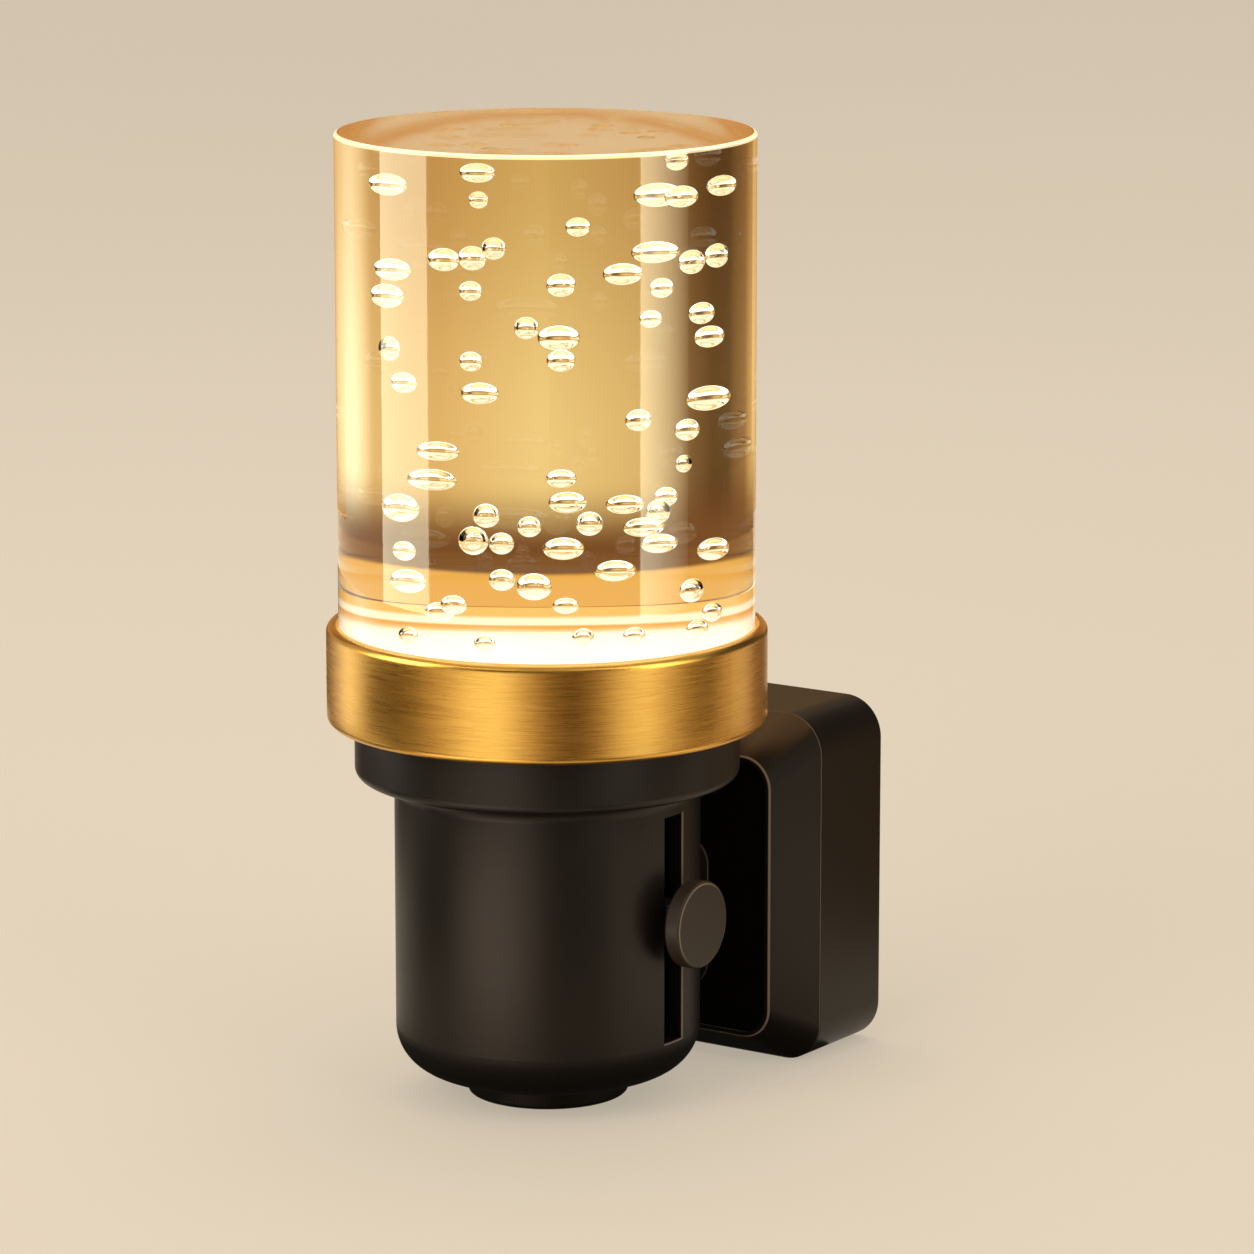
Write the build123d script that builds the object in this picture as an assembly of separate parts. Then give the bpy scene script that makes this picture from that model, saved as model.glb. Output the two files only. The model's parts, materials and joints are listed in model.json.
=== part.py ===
from build123d import *
from math import asin, cos, radians, sin, sqrt
import os

# A plug-in night light: a bubble crystal on a round lamp body with a slide dimmer, and its wall plug.
# Millimetres. The origin is on the plug's back face, midway between its two blades.
# +X is to the right as seen from the room, +Y runs into the wall and +Z is up.
# "Out" is measured from the wall along -Y, "across" from the lamp's axis along Y.

# Clearances shared by all pieces
FIT_GAP = 0.1
SCREW_GAP = 0.1
CUT_PAST = 1.0

# Pan-head screws, one size for the whole light
SCREW_D = 2.2
SCREW_HEAD_D = 4.0
SCREW_HEAD_HEIGHT = 1.5
SCREW_HEAD_R = 0.5
CROSS_LENGTH = 2.2
CROSS_WIDTH = 0.6
CROSS_DEPTH = 0.9

# Plug blades, to the common two-blade wall pattern with one wide blade
BLADE_SPACING = 12.7
BLADE_THICKNESS = 1.5
LIVE_BLADE_WIDTH = 6.35
NEUTRAL_BLADE_WIDTH = 7.94
BLADE_REACH = 17.3
BLADE_TIP_CHAMFER = 1.2
BLADE_HOLE_D = 3.2
BLADE_HOLE_REACH = 11.7
BLADE_SHOULDER = 1.0
BLADE_SHOULDER_DEPTH = 1.2
BLADE_TAIL_WIDTH = 3.0
BLADE_TAIL_PROUD = 0.8

# Plug case: a straight rear half and a tapering front half with a sunk panel
CASE_WIDTH = 43.3
CASE_HEIGHT = 44.0
CASE_RISE = 4.8
CASE_CORNER_R = 5.0
CASE_WALL = 2.0
CASE_BACK_EDGE_R = 0.8
SEAM_CHAMFER = 0.25
REAR_CASE_DEPTH = 14.5
FRONT_CASE_DEPTH = 5.0
FRONT_WEB = 2.0
RIM_WIDTH = 34.7
RIM_HEIGHT = 35.8
RIM_RISE = 4.0
RIM_CORNER_R = 4.0
RIM_LAND = 0.7
RIM_CHAMFER = 0.25
POCKET_DEPTH = 1.6
PANEL_THICKNESS = 1.0
LIP_DEPTH = 2.0
LIP_WALL = 1.2
CASE_POST_D = 5.0
CASE_POST_INSET = 5.6
CASE_BOSS_D = 7.0
CASE_BOSS_HEIGHT = 2.0
CASE_SCREW_SINK = 2.0
CASE_SCREW_LENGTH = 9.0

# Driver board in the plug case, and what it carries, placed by shares of the board's width and height
BOARD_THICKNESS = 1.6
BOARD_SIDE_GAP = 0.55
BOARD_END_GAP = 2.5
BOARD_STANDOFF = 3.6
BOARD_POST_D = 4.6
BOARD_POST_SPACING = 10.6
BOARD_SCREW_LENGTH = 4.6
FILM_CAPACITOR_WIDTH = 10.0
FILM_CAPACITOR_DEPTH = 6.0
FILM_CAPACITOR_HEIGHT = 10.5
FILM_CAPACITOR_EDGE_R = 0.8
FILM_CAPACITOR_SHARES = (-0.25, 0.33)
SMOOTHING_CAPACITOR_D = 6.0
SMOOTHING_CAPACITOR_LENGTH = 11.0
SMOOTHING_CAPACITOR_EDGE_R = 0.5
SMOOTHING_CAPACITOR_SHARES = (0.29, 0.33)
RECTIFIER_WIDTH = 6.4
RECTIFIER_DEPTH = 2.6
RECTIFIER_HEIGHT = 6.4
RECTIFIER_SHARES = (0.3, -0.37)
FUSE_RESISTOR_D = 3.4
FUSE_RESISTOR_LENGTH = 9.5
FUSE_RESISTOR_EDGE_R = 0.6
FUSE_RESISTOR_SHARES = (-0.3, -0.38)
CHIP_WIDTH = 4.9
CHIP_DEPTH = 1.6
CHIP_HEIGHT = 3.9
CHIP_SHARES = (-0.3, 0.05)

# Neck between the plug case and the lamp body
NECK_WIDTH = 16.3
NECK_HEIGHT = 19.2
NECK_RISE = 1.1
NECK_CORNER_R = 3.5
NECK_BORE_D = 5.6
NECK_SADDLE_GAP = 0.05
NECK_SCREW_INSET = 2.55
NECK_SCREW_SHORT = 0.25
NECK_BOSS_D = 6.0
NECK_BOSS_DEPTH = 2.0

# Lamp body: a round shell whose wide collar just clears the top of the plug case
BODY_D = 37.1
BODY_WALL = 1.85
BODY_BOTTOM_R = 5.6
COLLAR_STEP = 4.75
COLLAR_OVERHANG = 0.5
COLLAR_CLEARANCE = 0.5
COLLAR_HEIGHT = 6.8
COLLAR_EDGE_R = 1.2
COLLAR_ROOT_R = 2.0

# Bottom cap and its nut
CAP_D = 19.6
CAP_HEIGHT = 3.0
CAP_EDGE_R = 0.5
CAP_GROOVE_DEPTH = 0.6
CAP_GROOVE_HEIGHT = 0.5
CAP_SPIGOT_D = 5.0
NUT_WIDTH = 8.4
NUT_HEIGHT = 1.6
NUT_SIDES = 6

# Slide dimmer: the knob at rest has travel left both ways
TRAVEL_UP = 10.0
TRAVEL_DOWN = 12.0
KNOB_D = 10.6
KNOB_THICKNESS = 2.1
KNOB_EDGE_R = 0.35
KNOB_STANDOFF = 2.0
KNOB_SOCKET = 1.2
LEVER_WIDTH = 3.0
LEVER_HEIGHT = 4.4
LEVER_SOCKET = 1.4
SLIDE_GAP = 0.36
SLOT_END_GAP = 0.75
SLOT_TOP_LAND = 0.8
SLOT_BOTTOM_LAND = 0.3
SLOT_CHAMFER = 0.15
CARRIAGE_DEPTH = 3.6
CARRIAGE_HEIGHT = 6.4
CARRIAGE_GAP = 0.2
FRAME_WIDTH = 9.2
FRAME_DEPTH = 6.5
FRAME_SHEET = 0.5
FRAME_END_GAP = 0.3
FRAME_WALL_GAP = 2.85
TRACK_THICKNESS = 1.2
WIPER_WIDTH = 5.0
WIPER_HEIGHT = 4.4
WIPER_SHEET = 0.3
WIPER_FINGER_WIDTH = 0.9
WIPER_GAP = 0.1
DIMMER_BOARD_END = 1.2
DIMMER_EDGE_GAP = 3.3
RAIL_LIP = 1.4
RAIL_GRIP = 1.2

# Ring, a step wider than the collar, and light source
RING_STEP = 3.3
RING_WALL = 1.35
RING_HEIGHT = 11.9
RING_EDGE_R = 0.9
RING_LIP_R = 0.35
RING_WEB = 1.2
RING_WEB_LAP = 1.2
SPREADER_THICKNESS = 1.5
SPREADER_SCREW_COUNT = 3
SPREADER_SCREW_INSET = 3.3
SPREADER_SCREW_LENGTH = 6.4
LED_BOARD_THICKNESS = 1.0
LED_BOARD_GAP = 0.5
LED_COUNT = 8
LED_CIRCLE_D = 22.0
LED_SIDE = 3.0
LED_HEIGHT = 0.7
REFLECTOR_GAP = 0.45
REFLECTOR_LIP_WALL = 1.0
DIFFUSER_THICKNESS = 2.0

# Crystal column, which stands in the ring's bore
CRYSTAL_HEIGHT = 61.8
CRYSTAL_SEAT = 2.5
CRYSTAL_GAP = 0.15
CRYSTAL_EDGE_R = 0.5

# Bubbles in the crystal, as they are seen from the front right through its curved side.
# Each row: across the column in radii, up the part above the ring as a share of its height,
# deep along the line of sight in radii, and the bubble's size in bubble diameters.
BUBBLE_D = 2.6
CRYSTAL_INDEX = 1.49
SIGHT_TURN = 35.0
SIGHT_FALL_SHARE = 0.1
BUBBLE_SHARES = (
    (-0.75, 0.935, 1.00, 1.00), (-0.33, 0.975, 1.35, 0.90), (-0.31, 0.915, 0.45, 0.77),
    (0.15, 0.865, 0.75, 0.86), (0.54, 0.925, 1.35, 1.10), (0.64, 0.915, 0.95, 1.00),
    (0.83, 0.925, 0.80, 0.95), (-0.73, 0.765, 1.00, 1.00), (-0.75, 0.71, 0.80, 1.10),
    (-0.48, 0.795, 0.85, 1.05), (-0.34, 0.80, 0.50, 1.10), (-0.24, 0.82, 0.35, 1.00),
    (-0.35, 0.735, 0.50, 0.90), (0.07, 0.75, 0.70, 1.05), (0.53, 0.81, 1.45, 1.00),
    (0.37, 0.77, 1.35, 1.00), (0.54, 0.735, 0.60, 0.90), (0.68, 0.78, 0.50, 1.10),
    (0.80, 0.785, 0.50, 1.10), (0.49, 0.675, 0.70, 0.80), (0.73, 0.675, 0.65, 1.00),
    (0.77, 0.625, 0.80, 1.00), (-0.09, 0.665, 0.35, 1.00), (0.06, 0.645, 1.30, 1.15),
    (0.07, 0.60, 0.75, 1.00), (-0.73, 0.605, 0.25, 1.10), (-0.67, 0.54, 0.70, 0.95),
    (-0.35, 0.595, 0.50, 0.90), (-0.32, 0.53, 1.30, 1.00), (0.43, 0.475, 0.55, 1.00),
    (0.77, 0.50, 1.00, 1.15), (0.66, 0.445, 0.55, 1.00), (0.64, 0.38, 0.20, 0.80),
    (-0.53, 0.405, 1.45, 0.90), (-0.56, 0.345, 1.45, 1.00), (-0.69, 0.285, 0.75, 1.30),
    (0.07, 0.36, 1.25, 0.85), (0.10, 0.31, 1.35, 1.00), (0.38, 0.30, 1.45, 0.90),
    (-0.28, 0.29, 0.35, 1.10), (-0.08, 0.27, 0.40, 0.95), (0.20, 0.275, 0.35, 1.10),
    (0.56, 0.315, 0.60, 0.90), (0.52, 0.29, 0.25, 1.10), (0.47, 0.25, 1.45, 0.90),
    (-0.34, 0.24, 0.20, 1.30), (-0.21, 0.235, 0.40, 1.00), (0.08, 0.215, 1.40, 1.05),
    (0.54, 0.215, 1.25, 0.90), (-0.67, 0.20, 0.60, 0.90), (-0.21, 0.16, 0.55, 1.00),
    (-0.06, 0.145, 0.75, 1.25), (0.33, 0.165, 1.40, 1.00), (0.79, 0.19, 0.80, 1.05),
    (-0.66, 0.135, 0.95, 1.10), (0.68, 0.12, 0.35, 1.10), (-0.44, 0.10, 0.80, 0.90),
    (-0.51, 0.08, 1.00, 0.90), (0.09, 0.10, 1.20, 0.75), (0.78, 0.065, 0.50, 0.90),
    (-0.29, 0.03, 0.40, 0.90), (0.17, 0.045, 0.40, 0.90), (0.41, 0.04, 0.50, 0.90),
    (-0.65, 0.03, 0.40, 0.90), (0.71, 0.035, 0.60, 0.90), (0.61, 0.985, 0.60, 0.90),
)

# Leads inside the light
LEAD_D = 1.2
LEAD_BEND_R = 3.2
LEAD_BEND_SHARE = 0.9
LEAD_HOLE_GAP = 0.2
SUPPLY_LEAD_SPACING = 3.0
SUPPLY_LEAD_SHORT = 4.0
LED_LEAD_SPACING = 6.0
LED_LEAD_STANDOFF = 3.6
LED_LEAD_DROP = 3.85
SOLDER_D = 2.6
SOLDER_HEIGHT = 0.5

# Places in the plug case, measured out from the wall
front_case_out = REAR_CASE_DEPTH + FRONT_CASE_DEPTH
panel_back_out = front_case_out - POCKET_DEPTH
panel_front_out = panel_back_out + PANEL_THICKNESS
web_back_out = panel_back_out - FRONT_WEB
case_boss_out = CASE_WALL + CASE_BOSS_HEIGHT
board_back_out = CASE_WALL + BOARD_STANDOFF
board_front_out = board_back_out + BOARD_THICKNESS

# The driver board fills the room between the case's posts and ends
driver_board_width = CASE_WIDTH - 2 * (CASE_POST_INSET + CASE_POST_D / 2 + BOARD_SIDE_GAP)
driver_board_height = CASE_HEIGHT - 2 * (CASE_WALL + BOARD_END_GAP)

# The dimmer's slot hangs below the collar, which clears the rim of the plug case
travel = TRAVEL_UP + TRAVEL_DOWN
collar_bottom = RIM_RISE + RIM_HEIGHT / 2 + COLLAR_CLEARANCE
collar_top = collar_bottom + COLLAR_HEIGHT
slot_width = LEVER_WIDTH + 2 * SLIDE_GAP
slot_length = travel + LEVER_HEIGHT + 2 * SLOT_END_GAP
slot_top = collar_bottom - COLLAR_ROOT_R - SLOT_TOP_LAND
slot_bottom = slot_top - slot_length
slot_middle = (slot_top + slot_bottom) / 2
knob_rise = slot_top - SLOT_END_GAP - LEVER_HEIGHT / 2 - TRAVEL_UP

# Radii and heights of the lamp body, whose rounded bottom edge starts below the slot
body_r = BODY_D / 2
body_inner_r = body_r - BODY_WALL
collar_r = body_r + COLLAR_STEP
lamp_axis_out = front_case_out + collar_r - COLLAR_OVERHANG
body_bottom = slot_bottom - SLOT_BOTTOM_LAND - BODY_BOTTOM_R
body_floor = body_bottom + BODY_WALL
cap_bottom = body_bottom - CAP_HEIGHT

# The neck's two screws end inside bosses on the inside of the body
neck_screw_x = NECK_WIDTH / 2 - NECK_SCREW_INSET
neck_boss_out = lamp_axis_out - sqrt(body_inner_r ** 2 - neck_screw_x ** 2) + NECK_BOSS_DEPTH
neck_screw_length = neck_boss_out - web_back_out - NECK_SCREW_SHORT

# Heights and radii of the ring and the light source
web_top = collar_top + RING_WEB
spreader_top = web_top + SPREADER_THICKNESS
led_board_top = spreader_top + LED_BOARD_THICKNESS
ring_top = collar_top + RING_HEIGHT
crystal_bottom = ring_top - CRYSTAL_SEAT
crystal_top = crystal_bottom + CRYSTAL_HEIGHT
diffuser_bottom = crystal_bottom - DIFFUSER_THICKNESS
ring_r = collar_r + RING_STEP
ring_bore_r = ring_r - RING_WALL
crystal_r = ring_bore_r - CRYSTAL_GAP
seat_r = ring_bore_r - FIT_GAP
web_bore_r = body_inner_r - RING_WEB_LAP
spreader_screw_r = body_inner_r + SPREADER_SCREW_INSET
led_board_r = spreader_screw_r - SCREW_HEAD_D / 2 - LED_BOARD_GAP
reflector_foot_r = spreader_screw_r + SCREW_HEAD_D / 2 + REFLECTOR_GAP

# Places along the dimmer, measured to the right of the lamp's axis, and its heights
frame_front = sqrt(body_inner_r ** 2 - (FRAME_WIDTH / 2) ** 2) - FRAME_WALL_GAP
dimmer_board_front = frame_front - FRAME_DEPTH
dimmer_board_back = dimmer_board_front - BOARD_THICKNESS
dimmer_board_half = sqrt(body_inner_r ** 2 - dimmer_board_front ** 2) - DIMMER_EDGE_GAP
track_front = dimmer_board_front + TRACK_THICKNESS
carriage_front = frame_front - FRAME_SHEET - CARRIAGE_GAP
carriage_back = carriage_front - CARRIAGE_DEPTH
knob_back = body_r + KNOB_STANDOFF
knob_front = knob_back + KNOB_THICKNESS
frame_length = travel + CARRIAGE_HEIGHT + 2 * (FRAME_END_GAP + FRAME_SHEET)
dimmer_board_bottom = slot_middle - frame_length / 2 - DIMMER_BOARD_END
dimmer_board_top = slot_middle + frame_length / 2 + DIMMER_BOARD_END
led_lead_x = dimmer_board_back - LED_LEAD_STANDOFF
led_lead_rise = dimmer_board_top - LED_LEAD_DROP

# Holes
screw_hole_d = SCREW_D + 2 * SCREW_GAP
screw_sink_d = SCREW_HEAD_D + 2 * SCREW_GAP
lead_hole_d = LEAD_D + 2 * LEAD_HOLE_GAP


def around(middle, width):
    """The two ends of a width that is centred on a place."""
    return (middle - width / 2, middle + width / 2)


def block(x, y, z):
    """A box between two ends along each axis."""
    size = [max(ends) - min(ends) for ends in (x, y, z)]
    middle = [sum(ends) / 2 for ends in (x, y, z)]
    return Pos(*middle) * Box(*size)


def lamp_block(x, across, z):
    """A box beside the lamp's axis."""
    return Pos(0, -lamp_axis_out, 0) * block(x, across, z)


def plate(width, height, corner_r, out, depth, rise):
    """A rounded bar that starts at a distance from the wall and runs on into the room."""
    outline = Pos(0, rise) * RectangleRounded(width, height, corner_r)
    return extrude(Plane.XZ.offset(out) * outline, depth)


def level_rod(x, z, out, depth, diameter):
    """A round bar that starts at a distance from the wall and runs on into the room."""
    return extrude(Plane.XZ.offset(out) * (Pos(x, z) * Circle(diameter / 2)), depth)


def standing_rod(x, across, bottom, top, diameter):
    """An upright round bar beside the lamp's axis."""
    return Pos(x, across - lamp_axis_out, (bottom + top) / 2) * Cylinder(diameter / 2, top - bottom)


def turned(corners):
    """An outline of corners, each a radius, a height and a rounding, turned about the lamp's axis."""
    outline = make_face(Polyline([(radius, height) for radius, height, _ in corners], close=True))
    for radius, height, rounding in corners:
        if rounding:
            corner = outline.vertices().sort_by_distance((radius, height))[0]
            outline = fillet(corner, rounding)
    return Pos(0, -lamp_axis_out, 0) * revolve(Plane.XZ * outline, Axis.Z)


def screw(length):
    """A pan-head screw along Z, seated at zero with its shank below and a cross in its head."""
    head = Pos(0, 0, SCREW_HEAD_HEIGHT / 2) * Cylinder(SCREW_HEAD_D / 2, SCREW_HEAD_HEIGHT)
    head = fillet(head.edges().group_by(Axis.Z)[-1], SCREW_HEAD_R)
    shank = Pos(0, 0, -length / 2) * Cylinder(SCREW_D / 2, length)
    cross_z = (SCREW_HEAD_HEIGHT - CROSS_DEPTH, SCREW_HEAD_HEIGHT + CUT_PAST)
    arm = block(around(0, CROSS_LENGTH), around(0, CROSS_WIDTH), cross_z)
    return head + shank - arm - Rot(0, 0, 90) * arm


def toward_wall(x, z, out):
    """A place for a screw whose head faces the wall."""
    return Plane((x, -out, z), x_dir=(1, 0, 0), z_dir=(0, 1, 0))


def toward_room(x, z, out):
    """A place for a screw whose head faces the room."""
    return Plane((x, -out, z), x_dir=(1, 0, 0), z_dir=(0, -1, 0))


def lead(points):
    """A round lead along straight runs, with turns as round as the runs leave room for."""
    runs = [(Vector(end) - Vector(start)).length for start, end in zip(points, points[1:])]
    path = FilletPolyline(points, radius=min(LEAD_BEND_R, LEAD_BEND_SHARE * min(runs)))
    return sweep(Plane(path @ 0, z_dir=path % 0) * Circle(LEAD_D / 2), path=path)


def blade_places():
    """Each blade's place across the plug and its width; the wide one is on the left."""
    half = BLADE_SPACING / 2
    return {"live_blade": (half, LIVE_BLADE_WIDTH), "neutral_blade": (-half, NEUTRAL_BLADE_WIDTH)}


def case_screw_places():
    across = CASE_WIDTH / 2 - CASE_POST_INSET
    up = CASE_HEIGHT / 2 - CASE_POST_INSET
    return [(side * across, CASE_RISE + end * up) for side in (-1, 1) for end in (-1, 1)]


def board_screw_places():
    """One above and one below the leads that leave the board."""
    return [(0, NECK_RISE + end * BOARD_POST_SPACING / 2) for end in (-1, 1)]


def neck_screw_places():
    return [(side * neck_screw_x, NECK_RISE) for side in (-1, 1)]


def spreader_screw_places():
    """Places on a circle about the lamp's axis, the first one straight towards the room."""
    turns = [radians(360 * number / SPREADER_SCREW_COUNT) for number in range(SPREADER_SCREW_COUNT)]
    return [(spreader_screw_r * sin(turn), -spreader_screw_r * cos(turn)) for turn in turns]


def led_lead_places():
    half = LED_LEAD_SPACING / 2
    return {"led_lead_positive": half, "led_lead_negative": -half}


def supply_lead_heights():
    half = SUPPLY_LEAD_SPACING / 2
    return {"supply_lead_positive": NECK_RISE + half, "supply_lead_negative": NECK_RISE - half}


def on_driver_board(shares):
    """A place on the driver board, across and up from its middle by shares of its size."""
    return (shares[0] * driver_board_width, CASE_RISE + shares[1] * driver_board_height)


def blade(x, width):
    """A flat blade with a shoulder behind the case wall and a tail through the driver board."""
    thick = around(x, BLADE_THICKNESS)
    strip = block(thick, (-CASE_WALL, BLADE_REACH), around(0, width))
    strip = chamfer(strip.edges().filter_by(Axis.X).group_by(Axis.Y)[-1], BLADE_TIP_CHAMFER)
    shoulder_out = CASE_WALL + BLADE_SHOULDER_DEPTH
    shoulder = block(thick, (-shoulder_out, -CASE_WALL), around(0, width + 2 * BLADE_SHOULDER))
    tail_out = board_front_out + BLADE_TAIL_PROUD
    tail = block(thick, (-tail_out, -shoulder_out), around(0, BLADE_TAIL_WIDTH))
    hole = Cylinder(BLADE_HOLE_D / 2, BLADE_THICKNESS + 2 * CUT_PAST)
    return strip + shoulder + tail - Pos(x, BLADE_HOLE_REACH, 0) * Rot(0, 90, 0) * hole


def plug_rear_case():
    """The straight rear half: an open box with blade slots, screw bosses and posts for the board."""
    case = plate(CASE_WIDTH, CASE_HEIGHT, CASE_CORNER_R, 0, REAR_CASE_DEPTH, CASE_RISE)
    case = fillet(case.edges().group_by(Axis.Y)[-1], CASE_BACK_EDGE_R)
    case = chamfer(case.edges().group_by(Axis.Y)[0], SEAM_CHAMFER)
    inner_width = CASE_WIDTH - 2 * CASE_WALL
    inner_height = CASE_HEIGHT - 2 * CASE_WALL
    inner_r = CASE_CORNER_R - CASE_WALL
    case -= plate(inner_width, inner_height, inner_r, CASE_WALL, REAR_CASE_DEPTH, CASE_RISE)
    for x, z in case_screw_places():
        case += level_rod(x, z, CASE_WALL, CASE_BOSS_HEIGHT, CASE_BOSS_D)
        case -= level_rod(x, z, -CUT_PAST, CASE_SCREW_SINK + CUT_PAST, screw_sink_d)
        case -= level_rod(x, z, 0, case_boss_out + CUT_PAST, screw_hole_d)
    pilot_out = board_front_out - BOARD_SCREW_LENGTH - SCREW_GAP
    for x, z in board_screw_places():
        case += level_rod(x, z, CASE_WALL, BOARD_STANDOFF, BOARD_POST_D)
        case -= level_rod(x, z, pilot_out, BOARD_SCREW_LENGTH, screw_hole_d)
    for x, width in blade_places().values():
        slot_across = around(x, BLADE_THICKNESS + 2 * FIT_GAP)
        slot_depth = (-CASE_WALL - CUT_PAST, CUT_PAST)
        case -= block(slot_across, slot_depth, around(0, width + 2 * FIT_GAP))
    return case


def plug_front_case():
    """The tapering front half, with a pocket for the panel, a lip and four screw posts."""
    seam = Pos(0, CASE_RISE) * RectangleRounded(CASE_WIDTH, CASE_HEIGHT, CASE_CORNER_R)
    rim = rim_outline(0)
    bevel_out = front_case_out - RIM_CHAMFER
    bevel = rim_outline(RIM_CHAMFER)
    case = loft([Plane.XZ.offset(REAR_CASE_DEPTH) * seam, Plane.XZ.offset(bevel_out) * rim], ruled=True)
    case += loft([Plane.XZ.offset(bevel_out) * rim, Plane.XZ.offset(front_case_out) * bevel], ruled=True)
    opening = rim_outline(RIM_LAND)
    case -= extrude(Plane.XZ.offset(panel_back_out) * opening, POCKET_DEPTH + CUT_PAST)
    case -= extrude(Plane.XZ.offset(REAR_CASE_DEPTH) * opening, web_back_out - REAR_CASE_DEPTH)
    case += front_case_lip()
    post_out = case_boss_out + FIT_GAP
    pilot_depth = CASE_SCREW_SINK + CASE_SCREW_LENGTH + SCREW_GAP
    for x, z in case_screw_places():
        case += level_rod(x, z, post_out, web_back_out - post_out, CASE_POST_D)
        case -= level_rod(x, z, 0, pilot_depth, screw_hole_d)
    return drill_neck_holes(case)


def rim_outline(inset):
    """The outline of the front case's rim, or one that lies inside it."""
    corner_r = RIM_CORNER_R - inset
    return Pos(0, RIM_RISE) * RectangleRounded(RIM_WIDTH - 2 * inset, RIM_HEIGHT - 2 * inset, corner_r)


def front_case_lip():
    """A thin frame on the front half that locates it inside the rear half."""
    shrink = CASE_WALL + FIT_GAP
    lip_out = REAR_CASE_DEPTH - LIP_DEPTH
    width = CASE_WIDTH - 2 * shrink
    height = CASE_HEIGHT - 2 * shrink
    corner_r = CASE_CORNER_R - shrink
    lip = plate(width, height, corner_r, lip_out, LIP_DEPTH, CASE_RISE)
    hole_width = width - 2 * LIP_WALL
    hole_height = height - 2 * LIP_WALL
    return lip - plate(hole_width, hole_height, corner_r - LIP_WALL, lip_out, LIP_DEPTH, CASE_RISE)


def drill_neck_holes(piece):
    """The lead hole and the two screw holes from the plug case into the lamp body."""
    piece -= level_rod(0, NECK_RISE, REAR_CASE_DEPTH, lamp_axis_out - REAR_CASE_DEPTH, NECK_BORE_D)
    hole_length = neck_screw_length + 2 * CUT_PAST
    for x, z in neck_screw_places():
        piece -= level_rod(x, z, web_back_out - CUT_PAST, hole_length, screw_hole_d)
    return piece


def front_panel():
    """The flat panel that is sunk in the front half of the plug case."""
    outline = rim_outline(RIM_LAND + FIT_GAP)
    return drill_neck_holes(extrude(Plane.XZ.offset(panel_back_out) * outline, PANEL_THICKNESS))


def neck_bracket():
    """A rounded block on the panel, hollowed at its front end to sit against the round body."""
    depth = lamp_axis_out - panel_front_out
    neck = plate(NECK_WIDTH, NECK_HEIGHT, NECK_CORNER_R, panel_front_out, depth, NECK_RISE)
    saddle_d = BODY_D + 2 * NECK_SADDLE_GAP
    neck -= standing_rod(0, 0, NECK_RISE - NECK_HEIGHT, NECK_RISE + NECK_HEIGHT, saddle_d)
    return drill_neck_holes(neck)


def driver_board():
    """The power board, with holes for its screws and for the blades' tails."""
    across = around(0, driver_board_width)
    depth = (-board_front_out, -board_back_out)
    board = block(across, depth, around(CASE_RISE, driver_board_height))
    hole_depth = BOARD_THICKNESS + 2 * CUT_PAST
    for x, z in board_screw_places():
        board -= level_rod(x, z, board_back_out - CUT_PAST, hole_depth, screw_hole_d)
    tail_height = around(0, BLADE_TAIL_WIDTH + 2 * FIT_GAP)
    for x, _ in blade_places().values():
        tail_across = around(x, BLADE_THICKNESS + 2 * FIT_GAP)
        board -= block(tail_across, (-board_front_out - CUT_PAST, 0), tail_height)
    return board


def board_box(shares, width, depth, height):
    """A box-shaped part that stands on the front of the driver board."""
    x, z = on_driver_board(shares)
    return block(around(x, width), (-board_front_out - depth, -board_front_out), around(z, height))


def film_capacitor():
    """A box with rounded edges, its flat back on the board."""
    size = (FILM_CAPACITOR_WIDTH, FILM_CAPACITOR_DEPTH, FILM_CAPACITOR_HEIGHT)
    box = board_box(FILM_CAPACITOR_SHARES, *size)
    return fillet(box.edges().filter_by(Axis.Y) + box.edges().group_by(Axis.Y)[0], FILM_CAPACITOR_EDGE_R)


def smoothing_capacitor():
    """A round can that lies upright along the board."""
    x, z = on_driver_board(SMOOTHING_CAPACITOR_SHARES)
    can = Cylinder(SMOOTHING_CAPACITOR_D / 2, SMOOTHING_CAPACITOR_LENGTH)
    can = fillet(can.edges().filter_by(GeomType.CIRCLE), SMOOTHING_CAPACITOR_EDGE_R)
    return Pos(x, -board_front_out - SMOOTHING_CAPACITOR_D / 2 - FIT_GAP, z) * can


def fuse_resistor():
    """A short round resistor that lies across the board."""
    x, z = on_driver_board(FUSE_RESISTOR_SHARES)
    rod = Cylinder(FUSE_RESISTOR_D / 2, FUSE_RESISTOR_LENGTH)
    rod = fillet(rod.edges().filter_by(GeomType.CIRCLE), FUSE_RESISTOR_EDGE_R)
    return Pos(x, -board_front_out - FUSE_RESISTOR_D / 2 - FIT_GAP, z) * Rot(0, 90, 0) * rod


def bridge_rectifier():
    return board_box(RECTIFIER_SHARES, RECTIFIER_WIDTH, RECTIFIER_DEPTH, RECTIFIER_HEIGHT)


def driver_chip():
    return board_box(CHIP_SHARES, CHIP_WIDTH, CHIP_DEPTH, CHIP_HEIGHT)


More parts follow.
